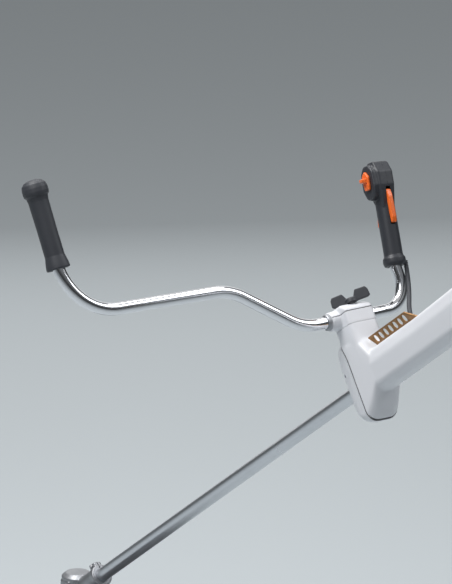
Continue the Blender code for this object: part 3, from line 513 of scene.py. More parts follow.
# camera, light and floor
def makeStage():
    view = {"azimuth": math.radians(234.7), "elevation": math.radians(17.0), "distance": 20.0, "width": 0.793,
            "right": -0.2175, "rise": 0.0456}
    a, e = view["azimuth"], view["elevation"]
    back = Vector((math.sin(a) * math.cos(e), -math.cos(a) * math.cos(e), math.sin(e)))
    right = Vector((math.cos(a), math.sin(a), 0))
    rise = back.cross(right)
    target = machine @ Vector((0, 0, 120)) + right * view["right"] + rise * view["rise"]
    camera = bpy.data.objects.new("camera", bpy.data.cameras.new("camera"))
    camera.data.sensor_fit = "HORIZONTAL"
    camera.data.lens = camera.data.sensor_width * view["distance"] / view["width"]
    camera.data.clip_end = 100
    camera.matrix_world = Matrix.Translation(target + back * view["distance"]) @ Matrix(
        (right, rise, back)).transposed().to_4x4()
    scene.collection.objects.link(camera)
    scene.camera = camera

    def lamp(name, towards, distance, size, power, colour=(1, 1, 1)):
        light = bpy.data.lights.new(name, "AREA")
        light.shape = "RECTANGLE"
        light.size, light.size_y = size
        light.energy = power
        light.color = colour
        lampObject = bpy.data.objects.new(name, light)
        direction = (right * towards[0] + rise * towards[1] + back * towards[2]).normalized()
        lampObject.location = target + direction * distance
        lampObject.rotation_euler = direction.to_track_quat("Z", "Y").to_euler()
        scene.collection.objects.link(lampObject)

    lamp("keyLight", (-0.5, 1.0, 0.45), 2.6, (1.6, 1.2), 62)
    lamp("rearFill", (1.0, 0.9, 0.2), 2.8, (1.4, 1.4), 20, (0.95, 0.97, 1.0))
    lamp("topStrip", (-0.1, 1.0, -0.3), 2.4, (2.6, 0.6), 24)
    lamp("frontFill", (-0.5, 0.5, 1.0), 4.5, (2.0, 2.0), 26, (0.96, 0.97, 1.0))
    lamp("floorWash", (-0.1, 0.5, -1.0), 3.2, (3.0, 2.0), 16)

    # a dim room that is brighter overhead, so bright metal shows clear bands
    world = bpy.data.worlds.new("studio")
    world.use_nodes = True
    nodes = world.node_tree.nodes
    link = world.node_tree.links.new
    place = nodes.new("ShaderNodeTexCoord")
    split = nodes.new("ShaderNodeSeparateXYZ")
    ramp = nodes.new("ShaderNodeValToRGB")
    for height, shade in ((0.5, 0.07), (0.62, 0.10), (0.75, 0.45), (1.0, 0.9)):
        stop = ramp.color_ramp.elements.new(height)
        stop.color = (shade * 0.93, shade * 0.97, shade, 1)
    ramp.color_ramp.elements[0].color = (0.2, 0.21, 0.22, 1)
    ramp.color_ramp.elements.remove(ramp.color_ramp.elements[-1])
    lift = nodes.new("ShaderNodeMapRange")
    lift.inputs["From Min"].default_value = -1.0
    link(place.outputs["Generated"], split.inputs["Vector"])
    link(split.outputs["Z"], lift.inputs["Value"])
    link(lift.outputs["Result"], ramp.inputs["Fac"])
    link(ramp.outputs["Color"], nodes["Background"].inputs["Color"])
    nodes["Background"].inputs["Strength"].default_value = 0.5
    scene.world = world
    scene.view_settings.view_transform = "Standard"

    floorHeight = cadBox[0].z - 0.001
    bm = bmesh.new()
    bmesh.ops.create_grid(bm, x_segments=1, y_segments=1, size=45)
    bmesh.ops.translate(bm, vec=(0, 0, floorHeight), verts=bm.verts)
    mesh = bpy.data.meshes.new("floor")
    bm.to_mesh(mesh)
    bm.free()
    floor = bpy.data.objects.new("floor", mesh)
    scene.collection.objects.link(floor)
    paint = bpy.data.materials.new("paleFloor")
    paint.use_nodes = True
    paint.node_tree.nodes["Principled BSDF"].inputs["Base Color"].default_value = (0.5, 0.54, 0.56, 1)
    paint.node_tree.nodes["Principled BSDF"].inputs["Roughness"].default_value = 0.8
    mesh.materials.append(paint)


makeStage()
print("stage set")

# white casing: main housing with the arm, front cover and the seal between them
casing = {"seam": 5.0, "half": 33.0, "top": 84.0, "bottom": -71.0, "depth": 53.0, "armHalf": 28.0,
          "armTop": 45.5,
          "armBottom": -31.0, "armRear": -440.0, "armFlare": 8.0, "neckRear": -37.0, "neckFront": 17.0,
          "neckTop": 101.0,
          "gap": 3.0, "seamBend": 14.0, "bendFrom": 42.0,
          "belly": [(5, 33, -71, 84), (-5, 32.2, -65, 84), (-15, 31, -56, 83), (-27, 29.5, -44, 80),
                    (-38, 28.5, -31, 68), (-48, 27.5, -18, 50), (-54, 25, -6, 34)]}


def seamBend(z):
    # the seam runs straight up the belly and bends forward to the foot of the neck
    share = max(0.0, min(1.0, (z - casing["bendFrom"]) / (casing["top"] - casing["bendFrom"])))
    return casing["seamBend"] * share * share


def cutAt(bm, heights):
    # rows of vertices at these heights, so that the seam can bend there
    for z in heights:
        bmesh.ops.bisect_plane(bm, geom=bm.verts[:] + bm.edges[:] + bm.faces[:], plane_co=(0, 0, z),
                               plane_no=(0, 0, 1), dist=0.0001)


def makeHousing():
    c = casing
    arm = roundedOutline([(11, c["armBottom"]), (c["armHalf"] - 1.5, -18), (c["armHalf"], 20),
                          (19, c["armTop"]),
                          (-19, c["armTop"]), (-c["armHalf"], 20), (-c["armHalf"] + 1.5, -18),
                          (-11, c["armBottom"])],
                         12, 6)
    grown = (c["armTop"] + c["armFlare"] - c["armBottom"]) / (c["armTop"] - c["armBottom"])
    armShape = loft(arm, [(c["armRear"], 1, grown, c["armBottom"] * (1 - grown)), (-205, 1, 1, 0),
                          (-12, 1, 1, 0)])
    tall = c["top"] - c["bottom"]
    outline = roundedOutline([(c["half"], -tall / 2), (c["half"], tall / 2), (-c["half"], tall / 2),
                              (-c["half"], -tall / 2)], 21, 9)
    stations = [(c["seam"] + 22, 1, 1, (c["top"] + c["bottom"]) / 2)]
    for x, half, bottom, top in c["belly"]:
        stations.append((x, half / c["half"], (top - bottom) / tall, (top + bottom) / 2))
    belly = loft(outline, stations)
    neck = bevelled(block((c["neckRear"], -30, 20), (c["neckFront"], 30, c["neckTop"] + 10)), 7, 3)
    skin = moulded([armShape, belly, neck], 1.9, 7)
    skin = keptSide(skin, (0, 0, c["neckTop"]), (0, 0, 1))
    edge = c["seam"] - c["gap"] / 2
    levels = [c["bendFrom"] + (c["top"] + 1.5 - c["bendFrom"]) * k / 12 for k in range(13)]
    front = [(edge + seamBend(z), z) for z in levels]
    front = prism([(edge, -90), *front, (90, c["top"] + 1.5), (90, -90)], -60, 60, "Y")
    tubeHole = moved(rod(13.2, -60, 60), facing(shaftLine))
    skin = carved([skin], [front, tubeHole])
    addPiece("mainHousing", skin, machine, "casing", "machine", ["main_housing"])

    middle = (c["top"] + c["bottom"]) / 2
    outline = roundedOutline([(c["half"], c["bottom"]), (c["half"], c["top"]), (-c["half"], c["top"]),
                              (-c["half"], c["bottom"])], 21, 9)
    centred = [(y, z - middle) for y, z in outline]
    start = c["seam"] + c["gap"] / 2
    stations = [(start, 1, 1, middle)]
    rows = 16
    for k in range(1, rows + 1):
        turn = k / rows * math.radians(86)
        size = math.cos(turn) ** 0.9
        stations.append((start + (c["depth"] - 0.5) * math.sin(turn), size, size, middle))
    cover = loft(centred, stations)
    cutAt(cover, (30, 50, 58, 66, 74, 80))
    for vert in cover.verts:
        vert.co.x += seamBend(vert.co.z) * max(0.0, 1 - (vert.co.x - start) / c["depth"])
    recesses = [moved(rod(4.0, 22, 45), facing((0, side, 0), (34, 0, 26))) for side in (1, -1)]
    cover = carved([cover], [*recesses, moved(rod(13.2, -20, 90), facing(shaftLine))])
    addPiece("frontCover", cover, machine, "casing", "machine", ["front_cover"])
    seal = loft(centred, [(c["seam"] - 3, 0.975, 0.989, middle), (c["seam"] + 3, 0.975, 0.989, middle)])
    cutAt(seal, (50, 58, 66, 74, 80))
    for vert in seal.verts:
        vert.co.x += seamBend(vert.co.z)
    addPiece("coverSeal", seal, machine, "seal", "machine")
    for side, label in ((1, "left"), (-1, "right")):
        head = easedProfile([(0, 24.6), (2.6, 24.6), (3.6, 23.8), (3.6, 22.4), (1.9, 22.4), (1.9, 14),
                             (0, 14)], 0.3)
        screw = carved([spun(head, 32)], [block((-0.6, -2.4, 23.6), (0.6, 2.4, 26)),
                                          block((-2.4, -0.6, 23.6), (2.4, 0.6, 26))])
        addPiece("coverScrew_" + label, screw, machine @ facing((0, side, 0), (34, 0, 26)), "steel",
                 "machine",
                 ["cover_screw_" + label])


makeHousing()
print("casing made")

# harness rail with its oval holes
rail = {"front": -54.0, "length": 146.0, "height": 23.5, "thick": 2.5, "lean": 26.0, "holes": 7,
        "pitch": 16.7,
        "firstHole": 9.0, "holeHeight": 13.5, "seat": 45.8}


def makeRail():
    r = rail
    outline = roundedOutline([(0, -3), (0, 0), (10, r["height"]), (-119, r["height"]), (-r["length"], 0),
                              (-r["length"], -3)], 1.2, 3)
    plate = prism(outline, 0, -r["thick"], "Y")
    cuts = []
    for n in range(r["holes"]):
        middle = -r["firstHole"] - n * r["pitch"]
        oval = []
        for k in range(32):
            turn = tau * k / 32
            rise = 2.0 if math.sin(turn) > 0 else -2.0
            oval.append((middle + 5.2 * math.cos(turn), r["holeHeight"] + rise + 5.0 * math.sin(turn)))
        cuts.append(prism(oval, 5, -r["thick"] - 5, "Y"))
    plate = bevelled(carved([plate], cuts), 0.35, 2, 40)
    lean = Matrix.Rotation(-math.radians(r["lean"]), 4, "X")
    moved(plate, Matrix.Translation(Vector((r["front"], 0, r["seat"]))) @ lean)
    foot = bevelled(block((r["front"] - r["length"] + 4, -15, r["seat"]),
                          (r["front"] - 4, -0.5, r["seat"] + 2.2)), 0.4)
    addPiece("harnessRail", carved([plate, foot]), machine, "rail", "machine", ["harness_rail"])
    for label, x in (("front", r["front"] - 20), ("rear", r["front"] - r["length"] + 20)):
        head = easedProfile([(0, 5.6), (2.4, 5.6), (2.4, 4), (3.6, 4), (4.2, 2.6), (2.1, 2.6), (2.1, -4),
                             (0, -4)], 0.3)
        addPiece("railScrew_" + label, spun(head, 32), machine @ Matrix.Translation((x, -9, r["seat"])),
                 "steel",
                 "machine", ["rail_screw_" + label])


makeRail()

# clamp, wing screw and handlebar
bar = {"radius": 11.0, "height": 120.0, "lean": math.radians(9.6), "clampTop": 140.5, "stud": -21.0,
       "corners": [(-126.5, 134), (-121, 72), (-130, 0), (100, 0), (233, 91), (560, 102), (571, 330)],
       "bends": [90, 45, 105, 105, 102]}


def barPoint(across, rise):
    return Vector((-rise * math.sin(bar["lean"]), across, bar["height"] + rise * math.cos(bar["lean"])))


def makeClamp():
    c = casing
    low = c["neckTop"] + 0.5
    seamGap = 1.6
    half = 30.0
    side = roundedOutline([(c["neckRear"], low - 8), (c["neckRear"], 131), (-20, bar["clampTop"]),
                           (3, bar["clampTop"]), (c["neckFront"], 129), (c["neckFront"], low - 8)], 9, 5)
    body = bevelled(prism(side, -half, half, "Y"), 6, 3)
    axis = facing((0, 1, 0), (0, 0, bar["height"]))
    flare = moved(spun([(0, 20), (20.5, 20), (17.5, 34), (16.6, 44), (16.2, 47), (0, 47)], 48), axis)
    whole = moulded([body, flare], 1.1, 6)
    whole = keptSide(whole, (0, 0, low), (0, 0, -1))
    whole = carved([whole], [moved(rod(bar["radius"] + 0.3, -60, 60), axis)])
    other = whole.copy()
    lean = Vector((0.05, 0, 1)).normalized()
    seam = bar["height"] + 3.0
    keptSide(whole, (0, 0, seam - seamGap / 2), lean)
    keptSide(other, (0, 0, seam + seamGap / 2), -lean)
    addPiece("clampSaddle", whole, machine, "casing", "clamp", ["clamp_saddle"])
    addPiece("clampCap", other, machine, "casing", "clamp", ["clamp_cap"])
    core = bevelled(block((c["neckRear"] + 2, -half + 2, c["neckTop"] + 0.1),
                          (c["neckFront"] - 2, half - 2, 131)), 5, 2)
    sleeve = moved(rod(bar["radius"] + 3.4, 20, 45), axis)
    core = carved([core, sleeve], [moved(rod(bar["radius"] + 0.2, -60, 60), axis)])
    addPiece("clampSeal", core, machine, "seal", "clamp")
    collar = spun(easedProfile([(11.2, 53.5), (12.8, 53.5), (14.4, 51.5), (14.9, 47.3), (14.9, 43),
                                (11.2, 43)], 0.8),
                  48, True)
    addPiece("barCollar", collar, machine @ axis, "cast", "clamp")


def makeWingScrew():
    hub = spun(easedProfile([(0, 9.5), (7, 9.5), (10.5, 7), (11.5, 1), (11.5, 0), (0, 0)], 0.8), 48)
    outline = [(0, 0.4), (31, 0.4), (35.5, 3), (34.5, 15), (31, 20), (12, 20.5), (6, 9), (0, 7)]
    blades = []
    for side in (1, -1):
        blade = prism([(side * y, z) for y, z in outline], -3.8, 3.8, "X")
        blades.append(bevelled(blade, 1.0, 2))
    skin = moulded([hub, *blades], 0.6, 2)
    skin = keptSide(skin, (0, 0, 0.3), (0, 0, -1))
    wing = machine @ Matrix.Translation((bar["stud"], 0, bar["clampTop"] + 0.3)) @ Matrix.Rotation(
        math.radians(-39), 4, "Z")
    addPiece("wingScrew", skin, wing, "handle", "wing_screw", ["wing_screw"])


def makeBar():
    route = bentPath([tuple(barPoint(*corner)) for corner in bar["corners"]], bar["bends"])
    addPiece("barTube", pipe(route, bar["radius"], 20), machine, "chrome", "handlebar", ["handlebar"])

    top, bottom = barPoint(*bar["corners"][6]), barPoint(*bar["corners"][5])
    direction = (top - bottom).normalized()
    length = 150.0
    profile = [(0, length + 12), (9, length + 11.4), (16.5, length + 8.5), (21.5, length + 3),
               (23.1, length - 4),
               (23.2, length - 11), (22.4, length - 16), (19.4, length - 19.5), (18.2, length - 27),
               (17.5, 70),
               (17.7, 24), (20.4, 11), (21.3, 2), (20, 0), (14.5, 0.6), (13.6, 5), (bar["radius"] + 0.05, 9)]
    grip = spun(easedProfile(profile, 3.0, 4), 72)
    addPiece("leftGrip", grip, machine @ facing(direction, top - direction * (length - 6)), "rubber",
             "handlebar",
             ["left_grip"])


makeClamp()
makeWingScrew()
makeBar()
print("clamp and bar made")


# control handle with its levers
def makeControls():
    profile = easedProfile([(0, 150), (17.0, 150), (17.0, 14), (20.3, 8.5), (20.6, 1), (18.5, -5),
                            (12.4, -5.5),
                            (12.4, 3), (0, 3)], 1.6)
    body = spun(profile, 64)
    head = roundedOutline([(-13.5, 94), (-17, 118), (-20, 140), (-19, 164), (-8, 183.5), (11, 183.5),
                           (24.5, 166),
                           (24.5, 138), (13, 106)], 7, 4)
    headShape = bevelled(prism(head, -16, 17.5, "Y"), 5, 3)
    for vert in headShape.verts:
        vert.co.y *= 0.74 + 0.26 * max(0.0, min(1.0, (vert.co.z - 96) / 52))
    cheek = roundedOutline([(-13, 122), (-17, 140), (-15, 166), (-4, 178), (12, 178), (23, 164), (23, 134),
                            (14, 118), (0, 113)], 9, 4)
    cheekShape = bevelled(prism(cheek, 0, 27, "Y"), 4, 3)
    cuts = [block((-1, -5.4, 60), (60, 5.4, 112)), bevelled(block((-60, -4.9, 68), (2, 4.9, 136)), 1.2, 2,
                                                            10)]
    skin = carved([moulded([body, headShape, cheekShape], 0.9, 4)], cuts)
    other = skin.copy()
    keptSide(skin, (0, 0.15, 0), (0, -1, 0))
    keptSide(other, (0, -0.15, 0), (0, 1, 0))
    addPiece("controlHandleLeft", skin, handle, "handle", "handlebar", ["control_handle_left"])
    addPiece("controlHandleRight", other, handle, "handle", "handlebar", ["control_handle_right"])

    trigger = [(-3.5, 4), (4, 4.5), (9.5, 2), (13, -8), (17.5, -22), (19, -33), (15, -40), (8, -41), (7, -30),
               (3, -12), (-3.5, -4)]
    blade = bevelled(prism(roundedOutline(trigger, 2, 3), -5, 5, "Y"), 1.2, 3, 50)
    addPiece("throttleTrigger", blade, handle @ Matrix.Translation(triggerPivot), "orange",
             "throttle_trigger",
             ["throttle_trigger"])
    lockout = [(3.5, 4), (-4, 4.5), (-10, 2), (-13.5, -10), (-15, -48), (-13, -57), (-8, -58), (-6.5, -45),
               (-3, -8), (3.5, -4)]
    lever = bevelled(prism(roundedOutline(lockout, 2, 3), -4.5, 4.5, "Y"), 1.2, 3, 50)
    addPiece("throttleLockout", lever, handle @ Matrix.Translation(lockoutPivot), "orange",
             "throttle_lockout",
             ["throttle_lockout"])

    drop = roundedOutline([(-8.5, -18), (6, -18), (9, 8), (0, 17), (-10, 6)], 3.5, 4)
    knob = bevelled(prism(drop, 0.3, 5.5, "Y"), 1.6, 3, 40)
    ridge = bevelled(prism(roundedOutline([(-7, -5), (7, -5), (8, 4), (-8, 4)], 2, 3), 3, 15, "Y"), 2, 3, 40)
    for vert in ridge.verts:
        share = max(0.0, (vert.co.y - 4) / 11)
        vert.co.x *= 1 - 0.45 * share
        vert.co.z *= 1 - 0.3 * share
    addPiece("stopSlider", carved([knob, ridge]), handle @ Matrix.Translation(sliderMiddle), "orange",
             "stop_slider", ["stop_slider"])
    screw = spun(easedProfile([(0, 20.8), (2.6, 20.8), (3.4, 19.8), (3.4, 17.4), (1.7, 17.4), (1.7, 8),
                               (0, 8)], 0.3), 28)
    addPiece("handleScrew", screw, handle @ facing((0, -1, 0), (0, 0, 176)), "steel", "handlebar",
             ["handle_screw"])


makeControls()

# throttle cable sleeve, corrugated, from the handle into the arm
sleeve = {"radius": 4.2, "rib": 3.1, "entry": Vector((-143, -22, 38)), "behind": 10.0, "aside": 16.2}


def bezier(pulls, t):
    a, b, c, d = pulls
    return a * (1 - t) ** 3 + b * 3 * t * (1 - t) ** 2 + c * 3 * t * t * (1 - t) + d * t**3


def makeSleeve():
    outlet = toMachine @ (handle @ Vector((-sleeve["behind"], -sleeve["aside"], 2)))
    down = (toMachine.to_3x3() @ handleUp).normalized()
    entry = sleeve["entry"]
    pulls = [outlet, outlet - down * 90, entry + Vector((0, 0, 62)), entry]
    split = bezier(pulls, 0.5)
    for name, node, low, high, ends in (
            ("cableSleeveUpper", "cable_sleeve_upper", 0.0, 0.5, ("clamp", "handlebar", split, outlet)),
            ("cableSleeveLower", "cable_sleeve_lower", 0.5, 1.0, ("machine", "clamp", entry, split))):
        rough = [bezier(pulls, low + (high - low) * n / 60) for n in range(61)]
        length = sum((b - a).length for a, b in zip(rough, rough[1:]))
        count = round(length / sleeve["rib"]) * 4
        fine = [bezier(pulls, low + (high - low) * n / count) for n in range(count + 1)]
        widths = [(1.0, 1.0, 0.8, 0.8)[n % 4] for n in range(len(fine))]
        tube = pipe(fine, sleeve["radius"], 6, widths)
        piece = addPiece(name, tube, machine, "rubber", None, [node], sharp=180)
        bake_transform(piece)
    inner = sleeve["radius"] + 0.5
    grommet = spun(easedProfile([(inner + 1.9, 31), (inner, 31), (inner, 42), (inner + 0.8, 44.5),
                                 (inner + 3.2, 43.5),
                                 (inner + 3.2, 42), (inner + 1.9, 41.5)], 0.4), 32, True)
    addPiece("cableGrommet", grommet, machine @ Matrix.Translation((entry.x, entry.y, 0)), "rubber",
             "machine",
             ["cable_grommet"])


makeSleeve()

# drive tube
tube = spun([(12.7, 1058), (12.7, -455), (10.9, -455), (10.9, 1058)], 72, True)
addPiece("driveTube", tube, machine @ facing(shaftLine), "alloy", "machine", ["shaft_tube"])
print("controls, sleeve and tube made")

# engine
motor = {"x": -575.0, "port": 78.0, "rear": -616.0, "front": -522.0, "shroudLow": 43.0, "shroudHigh": 166.0,
         "tankLow": -116.0, "tankHigh": -44.0, "filler": (-572.0, -80.0), "recoil": -657.0}


def roundedBlock(low, high, radius, segments=5):
    return bevelled(block(low, high), radius, segments)


def capScrew(length=6.0, radius=3.6):
    head = spun(easedProfile([(0, 3.4), (radius - 0.6, 3.4), (radius, 2.6), (radius, 0), (radius / 2, 0),
                              (radius / 2, -length), (0, -length)], 0.25), 24)
    socket = spun([(0, 6), (radius * 0.5, 6), (radius * 0.5, 1.2), (0, 1.2)], 6)
    return carved([head], [socket])


def scalloped(radius, depth, count, low, high):
    outline = []
    for k in range(count * 10):
        turn = tau * k / (count * 10)
        reach = radius - depth * (0.5 - 0.5 * math.cos(count * turn)) ** 3
        outline.append((reach * math.cos(turn), reach * math.sin(turn)))
    return prism(outline, low, high, "Z")


def makeClutchHousing():
    shell = [(34, -440.3), (56, -472), (68.5, -499), (72, -505), (72, -521), (66, -521), (66, -503),
             (54, -479),
             (40, -462), (13.2, -457), (13.2, -440.3)]
    bell = spun([*easedProfile(shell, 2.5, 4)], 72, True)
    ribs = []
    for n in range(8):
        rib = bevelled(prism([(30, -442), (34, -442), (57, -473), (71, -503), (71, -519), (60, -519),
                              (30, -470)],
                             -2, 2, "Y"), 0.8, 2)
        ribs.append(moved(rib, Matrix.Rotation(tau * (n + 0.5) / 8, 4, "Z")))
    slots = []
    for n in range(8):
        slot = roundedBlock((59, -6, -498), (90, 6, -490), 2, 2)
        slots.append(moved(slot, Matrix.Rotation(tau * n / 8, 4, "Z")))
    bell = carved([bell], slots)
    addPiece("clutchHousing", bell, machine @ facing(shaftLine), "cast", "machine", ["clutch_housing"])
    for n, rib in enumerate(ribs):
        addPiece("clutchRib_%d" % n, rib, machine @ facing(shaftLine), "cast", "machine")
    for n in range(4):
        turn = tau * (n + 0.5) / 4
        place = (motor["front"] + 4.5, 60 * math.cos(turn), 60 * math.sin(turn))
        addPiece("clutchScrew_%d" % n, capScrew(4), machine @ facing(shaftLine, place), "steel", "machine")


def makeCrankcase():
    case = roundedBlock((motor["rear"], -38, -40), (motor["front"], 38, 40), 6, 4)
    plate = moved(rod(65, motor["front"] - 7, motor["front"] - 1, 72, 1), facing(shaftLine))
    ribs = []
    for n in range(5):
        x = motor["rear"] + 14 + n * 16
        for side in (1, -1):
            low, high = sorted((side * 37, side * 41.5))
            ribs.append(bevelled(block((x, low, -30), (x + 3, high, 28)), 1, 2))
    bore = moved(rod(12.6, -640, -500), facing(shaftLine))
    barrel = moved(rod(17, 0, 60), Matrix.Translation((motor["x"], 0, 0)))
    skin = carved([case, plate, *ribs], [bore, barrel])
    addPiece("crankcaseShell", skin, machine, "cast", "machine", ["crankcase"])


def makeCylinder():
    fins = []
    for k in range(8):
        z = 112 - k * 8
        fins += [(34, z), (34, z - 2), (24.5, z - 3), (24.5, z - 7)]
    profile = [(0, 118), (24, 118), *fins, (30, 46), (30, 40.3), (17, 40.3), (17, 104), (0, 104)]
    addPiece("cylinderBarrel", spun(profile, 64), machine @ Matrix.Translation((motor["x"], 0, 0)), "cast",
             "machine",
             ["cylinder"])
    boot = [(0, 150), (7, 149), (9.3, 145), (9.3, 136), (8.3, 135), (8.3, 132), (9.3, 131), (9.3, 127),
            (8, 125),
            (8, 118.4), (0, 118.4)]
    addPiece("plugBoot", spun(easedProfile(boot, 0.8), 40), machine @ Matrix.Translation((motor["x"], 0, 0)),
             "rubber",
             "machine", ["spark_plug"])


def makeShroud():
    low, high = motor["shroudLow"], motor["shroudHigh"]
    outer = roundedBlock((-617, -50, low), (-532, 50, high), 15, 6)
    inner = roundedBlock((-613.5, -46.5, low - 30), (-535.5, 46.5, high - 3.5), 12, 3)
    port = moved(rod(12.5, -80, 80), facing((0, 1, 0), (motor["x"], 0, motor["port"])))
    cuts = [inner, port]
    for n in range(6):
        x = -603 + n * 10
        cuts.append(roundedBlock((x, -26, high - 12), (x + 4.5, 26, high + 8), 1.8, 2))
    for n in range(5):
        z = low + 30 + n * 11
        cuts.append(roundedBlock((-545, -30, z), (-520, 30, z + 4.5), 1.8, 2))
        cuts.append(roundedBlock((-630, -30, z), (-605, 30, z + 4.5), 1.8, 2))
    addPiece("engineShroud", carved([outer], cuts), machine, "casing", "machine", ["engine_shroud"])
    for n, (x, y) in enumerate(((-601, 34), (-601, -34), (-548, 34), (-548, -34))):
        addPiece("shroudScrew_%d" % n, capScrew(5, 3.2), machine @ Matrix.Translation((x, y, high - 2.6)),
                 "steel",
                 "machine")


def makeMuffler():
    box = roundedBlock((-612, -92, 46), (-540, -54, 116), 7, 4)
    stub = moved(rod(10, 36, 60), facing((0, -1, 0), (motor["x"], 0, motor["port"])))
    seamRib = roundedBlock((-613, -74.5, 45), (-539, -72.5, 117), 0.9, 2)
    outlet = moved(rod(5, 70, 110), facing((0, -1, 0), (-600, 0, 60)))
    room = roundedBlock((-609, -89, 49), (-543, -57, 113), 4, 2)
    dents = [roundedBlock((-596 + n * 14, -96, 74), (-590 + n * 14, -91, 106), 2, 2) for n in range(4)]
    skin = carved([box, stub, seamRib], [room, outlet, *dents])
    addPiece("mufflerBox", skin, machine, "steel", "machine", ["muffler"])
    for n, (x, z) in enumerate(((-604, 108), (-548, 54))):
        addPiece("mufflerScrew_%d" % n, capScrew(4, 3.4), machine @ facing((0, -1, 0), (x, -91.8, z)),
                 "steel", "machine")


def makeIntake():
    body = roundedBlock((-597, 53, 60), (-553, 84, 96), 3, 3)
    stub = moved(rod(10, 36, 60), facing((0, 1, 0), (motor["x"], 0, motor["port"])))
    throat = moved(rod(6.5, 30, 110), facing((0, 1, 0), (motor["x"], 0, motor["port"])))
    pump = moved(rod(13, 0, 3.5, 48, 0.8), facing(shaftLine, (-554, 68, 78)))
    addPiece("carburettorBody", carved([body, stub, pump], [throat]), machine, "cast", "machine",
             ["carburettor"])
    outer = roundedBlock((-618, 60, 38), (-548, 108, 116), 12, 6)
    room = roundedBlock((-615, 30, 41), (-551, 104.5, 113), 8, 3)
    grooves = [roundedBlock((-606, 106.8, 54 + n * 9), (-560, 112, 57 + n * 9), 1, 2) for n in range(6)]
    addPiece("airFilterCover", carved([outer], [room, *grooves]), machine, "handle", "machine",
             ["air_filter_cover"])
    knob = carved([scalloped(8, 0.9, 8, 0, 5), rod(6.2, 0, 6.4, 40, 1)])
    addPiece("filterKnob", knob, machine @ facing((0, 1, 0), (-556.5, 107.5, 100)), "handle", "machine")
    choke = machine @ Matrix.Translation((-583, 96, 116.3))
    lever = roundedOutline([(0, -6.6), (0, 6.6), (14, 3.2), (23, 3), (23, -3), (14, -3.2)], 2, 3)
    lever = bevelled(prism(lever, 0.2, 3.4, "Z"), 0.7, 2)
    tip = bevelled(prism([(17, -3), (23, -3), (23, 3), (17, 3)], 2, 7, "Z"), 1.2, 3)
    addPiece("chokeLever", carved([lever, rod(7, 0, 4.6, 48, 1), tip]), choke, "orange", "choke_lever",
             ["choke_lever"])


def makeTank():
    low, high = motor["tankLow"], motor["tankHigh"]
    x, z = motor["filler"]
    body = roundedBlock((motor["rear"], -60, low), (-531, 60, high), 16, 7)
    flange = roundedBlock((motor["rear"] - 0.8, -60.8, low + 34), (-530.2, 60.8, low + 37.5), 1.5, 2)
    neckAxis = facing((0, 1, 0), (x, 0, z))
    body = carved([body, flange, moved(rod(17, 46, 70, 64, 1), neckAxis)], [moved(rod(13, 50, 80), neckAxis)])
    addPiece("fuelTank", body, machine, "tank", "machine", ["fuel_tank"])
    cap = carved([scalloped(21, 1.4, 18, 0.2,
                            9), spun(easedProfile([(0, 12), (17, 12), (19.6, 9.5), (19.6, 1), (0, 1)],
                                                                    1.2), 64)],
                 [roundedBlock((-3, -15, 10.4), (3, 15, 15), 1, 2)])
    addPiece("fuelCap", cap, machine @ facing((0, 1, 0), (x, 70.3, z)), "handle", "fuel_cap", ["fuel_cap"])
    for n, y in enumerate((-30, 30)):
        foot = roundedBlock((-604, y - 8, low - 0.1), (-543, y + 8, low + 6), 2, 3)
        addPiece("tankFoot_%d" % n, foot, machine, "rubber", "machine")


def makeStarter():
    rear = motor["rear"]
    profile = [(64, rear - 2), (66, rear - 8), (66, -674), (57, -693), (20, -694), (0, -694), (0, -691),
               (54, -691),
               (63, -674), (63, rear - 2)]
    bowl = spun(easedProfile(profile, 2.5, 4), 80)
    vents = []
    for n in range(12):
        vent = roundedBlock((22, -2.2, -700), (48, 2.2, -686), 1.6, 2)
        vents.append(moved(vent, Matrix.Rotation(tau * n / 12, 4, "Z")))
    ropeHole = moved(rod(3.4, 50, 80), toStarter())
    bowl = moved(carved([bowl], vents), facing(shaftLine))
    boss = moved(rod(6.5, 61, 68.5, 40, 1), toStarter())
    addPiece("starterCover", carved([bowl, boss], [ropeHole]), machine, "handle", "machine",
             ["starter_cover"])
    for n in range(4):
        turn = tau * (n + 0.5) / 4
        place = (-691.2, 50 * math.cos(turn), 50 * math.sin(turn))
        addPiece("starterScrew_%d" % n, capScrew(4, 3.2), machine @ facing((-1, 0, 0), place), "steel",
                 "machine")
    bar = moulded([bevelled(block((-7, -24, 69), (7, 24, 85)), 5, 4), rod(6.5, 68, 77, 40, 1)], 0.9, 4)
    addPiece("starterHandle", bar, machine @ toStarter(), "handle", "starter_grip", ["starter_grip"])
    addPiece("starterRope", rod(2.2, 58, 72, 24), machine @ toStarter(), "rubber", "starter_grip")


def toStarter():
    return facing((0, 0.5, 0.87), (motor["recoil"], 0, 0))


for make in (makeClutchHousing, makeCrankcase, makeCylinder, makeShroud, makeMuffler, makeIntake, makeTank,
             makeStarter):
    make()
print("engine made")

# gear head, guard and line head
cutter = {"headX": 1118.0, "guardReach": 232.0, "guardTop": -33.3, "guardDrop": 46.0, "guardFrom": 112.0,
          "guardTo": 248.0}


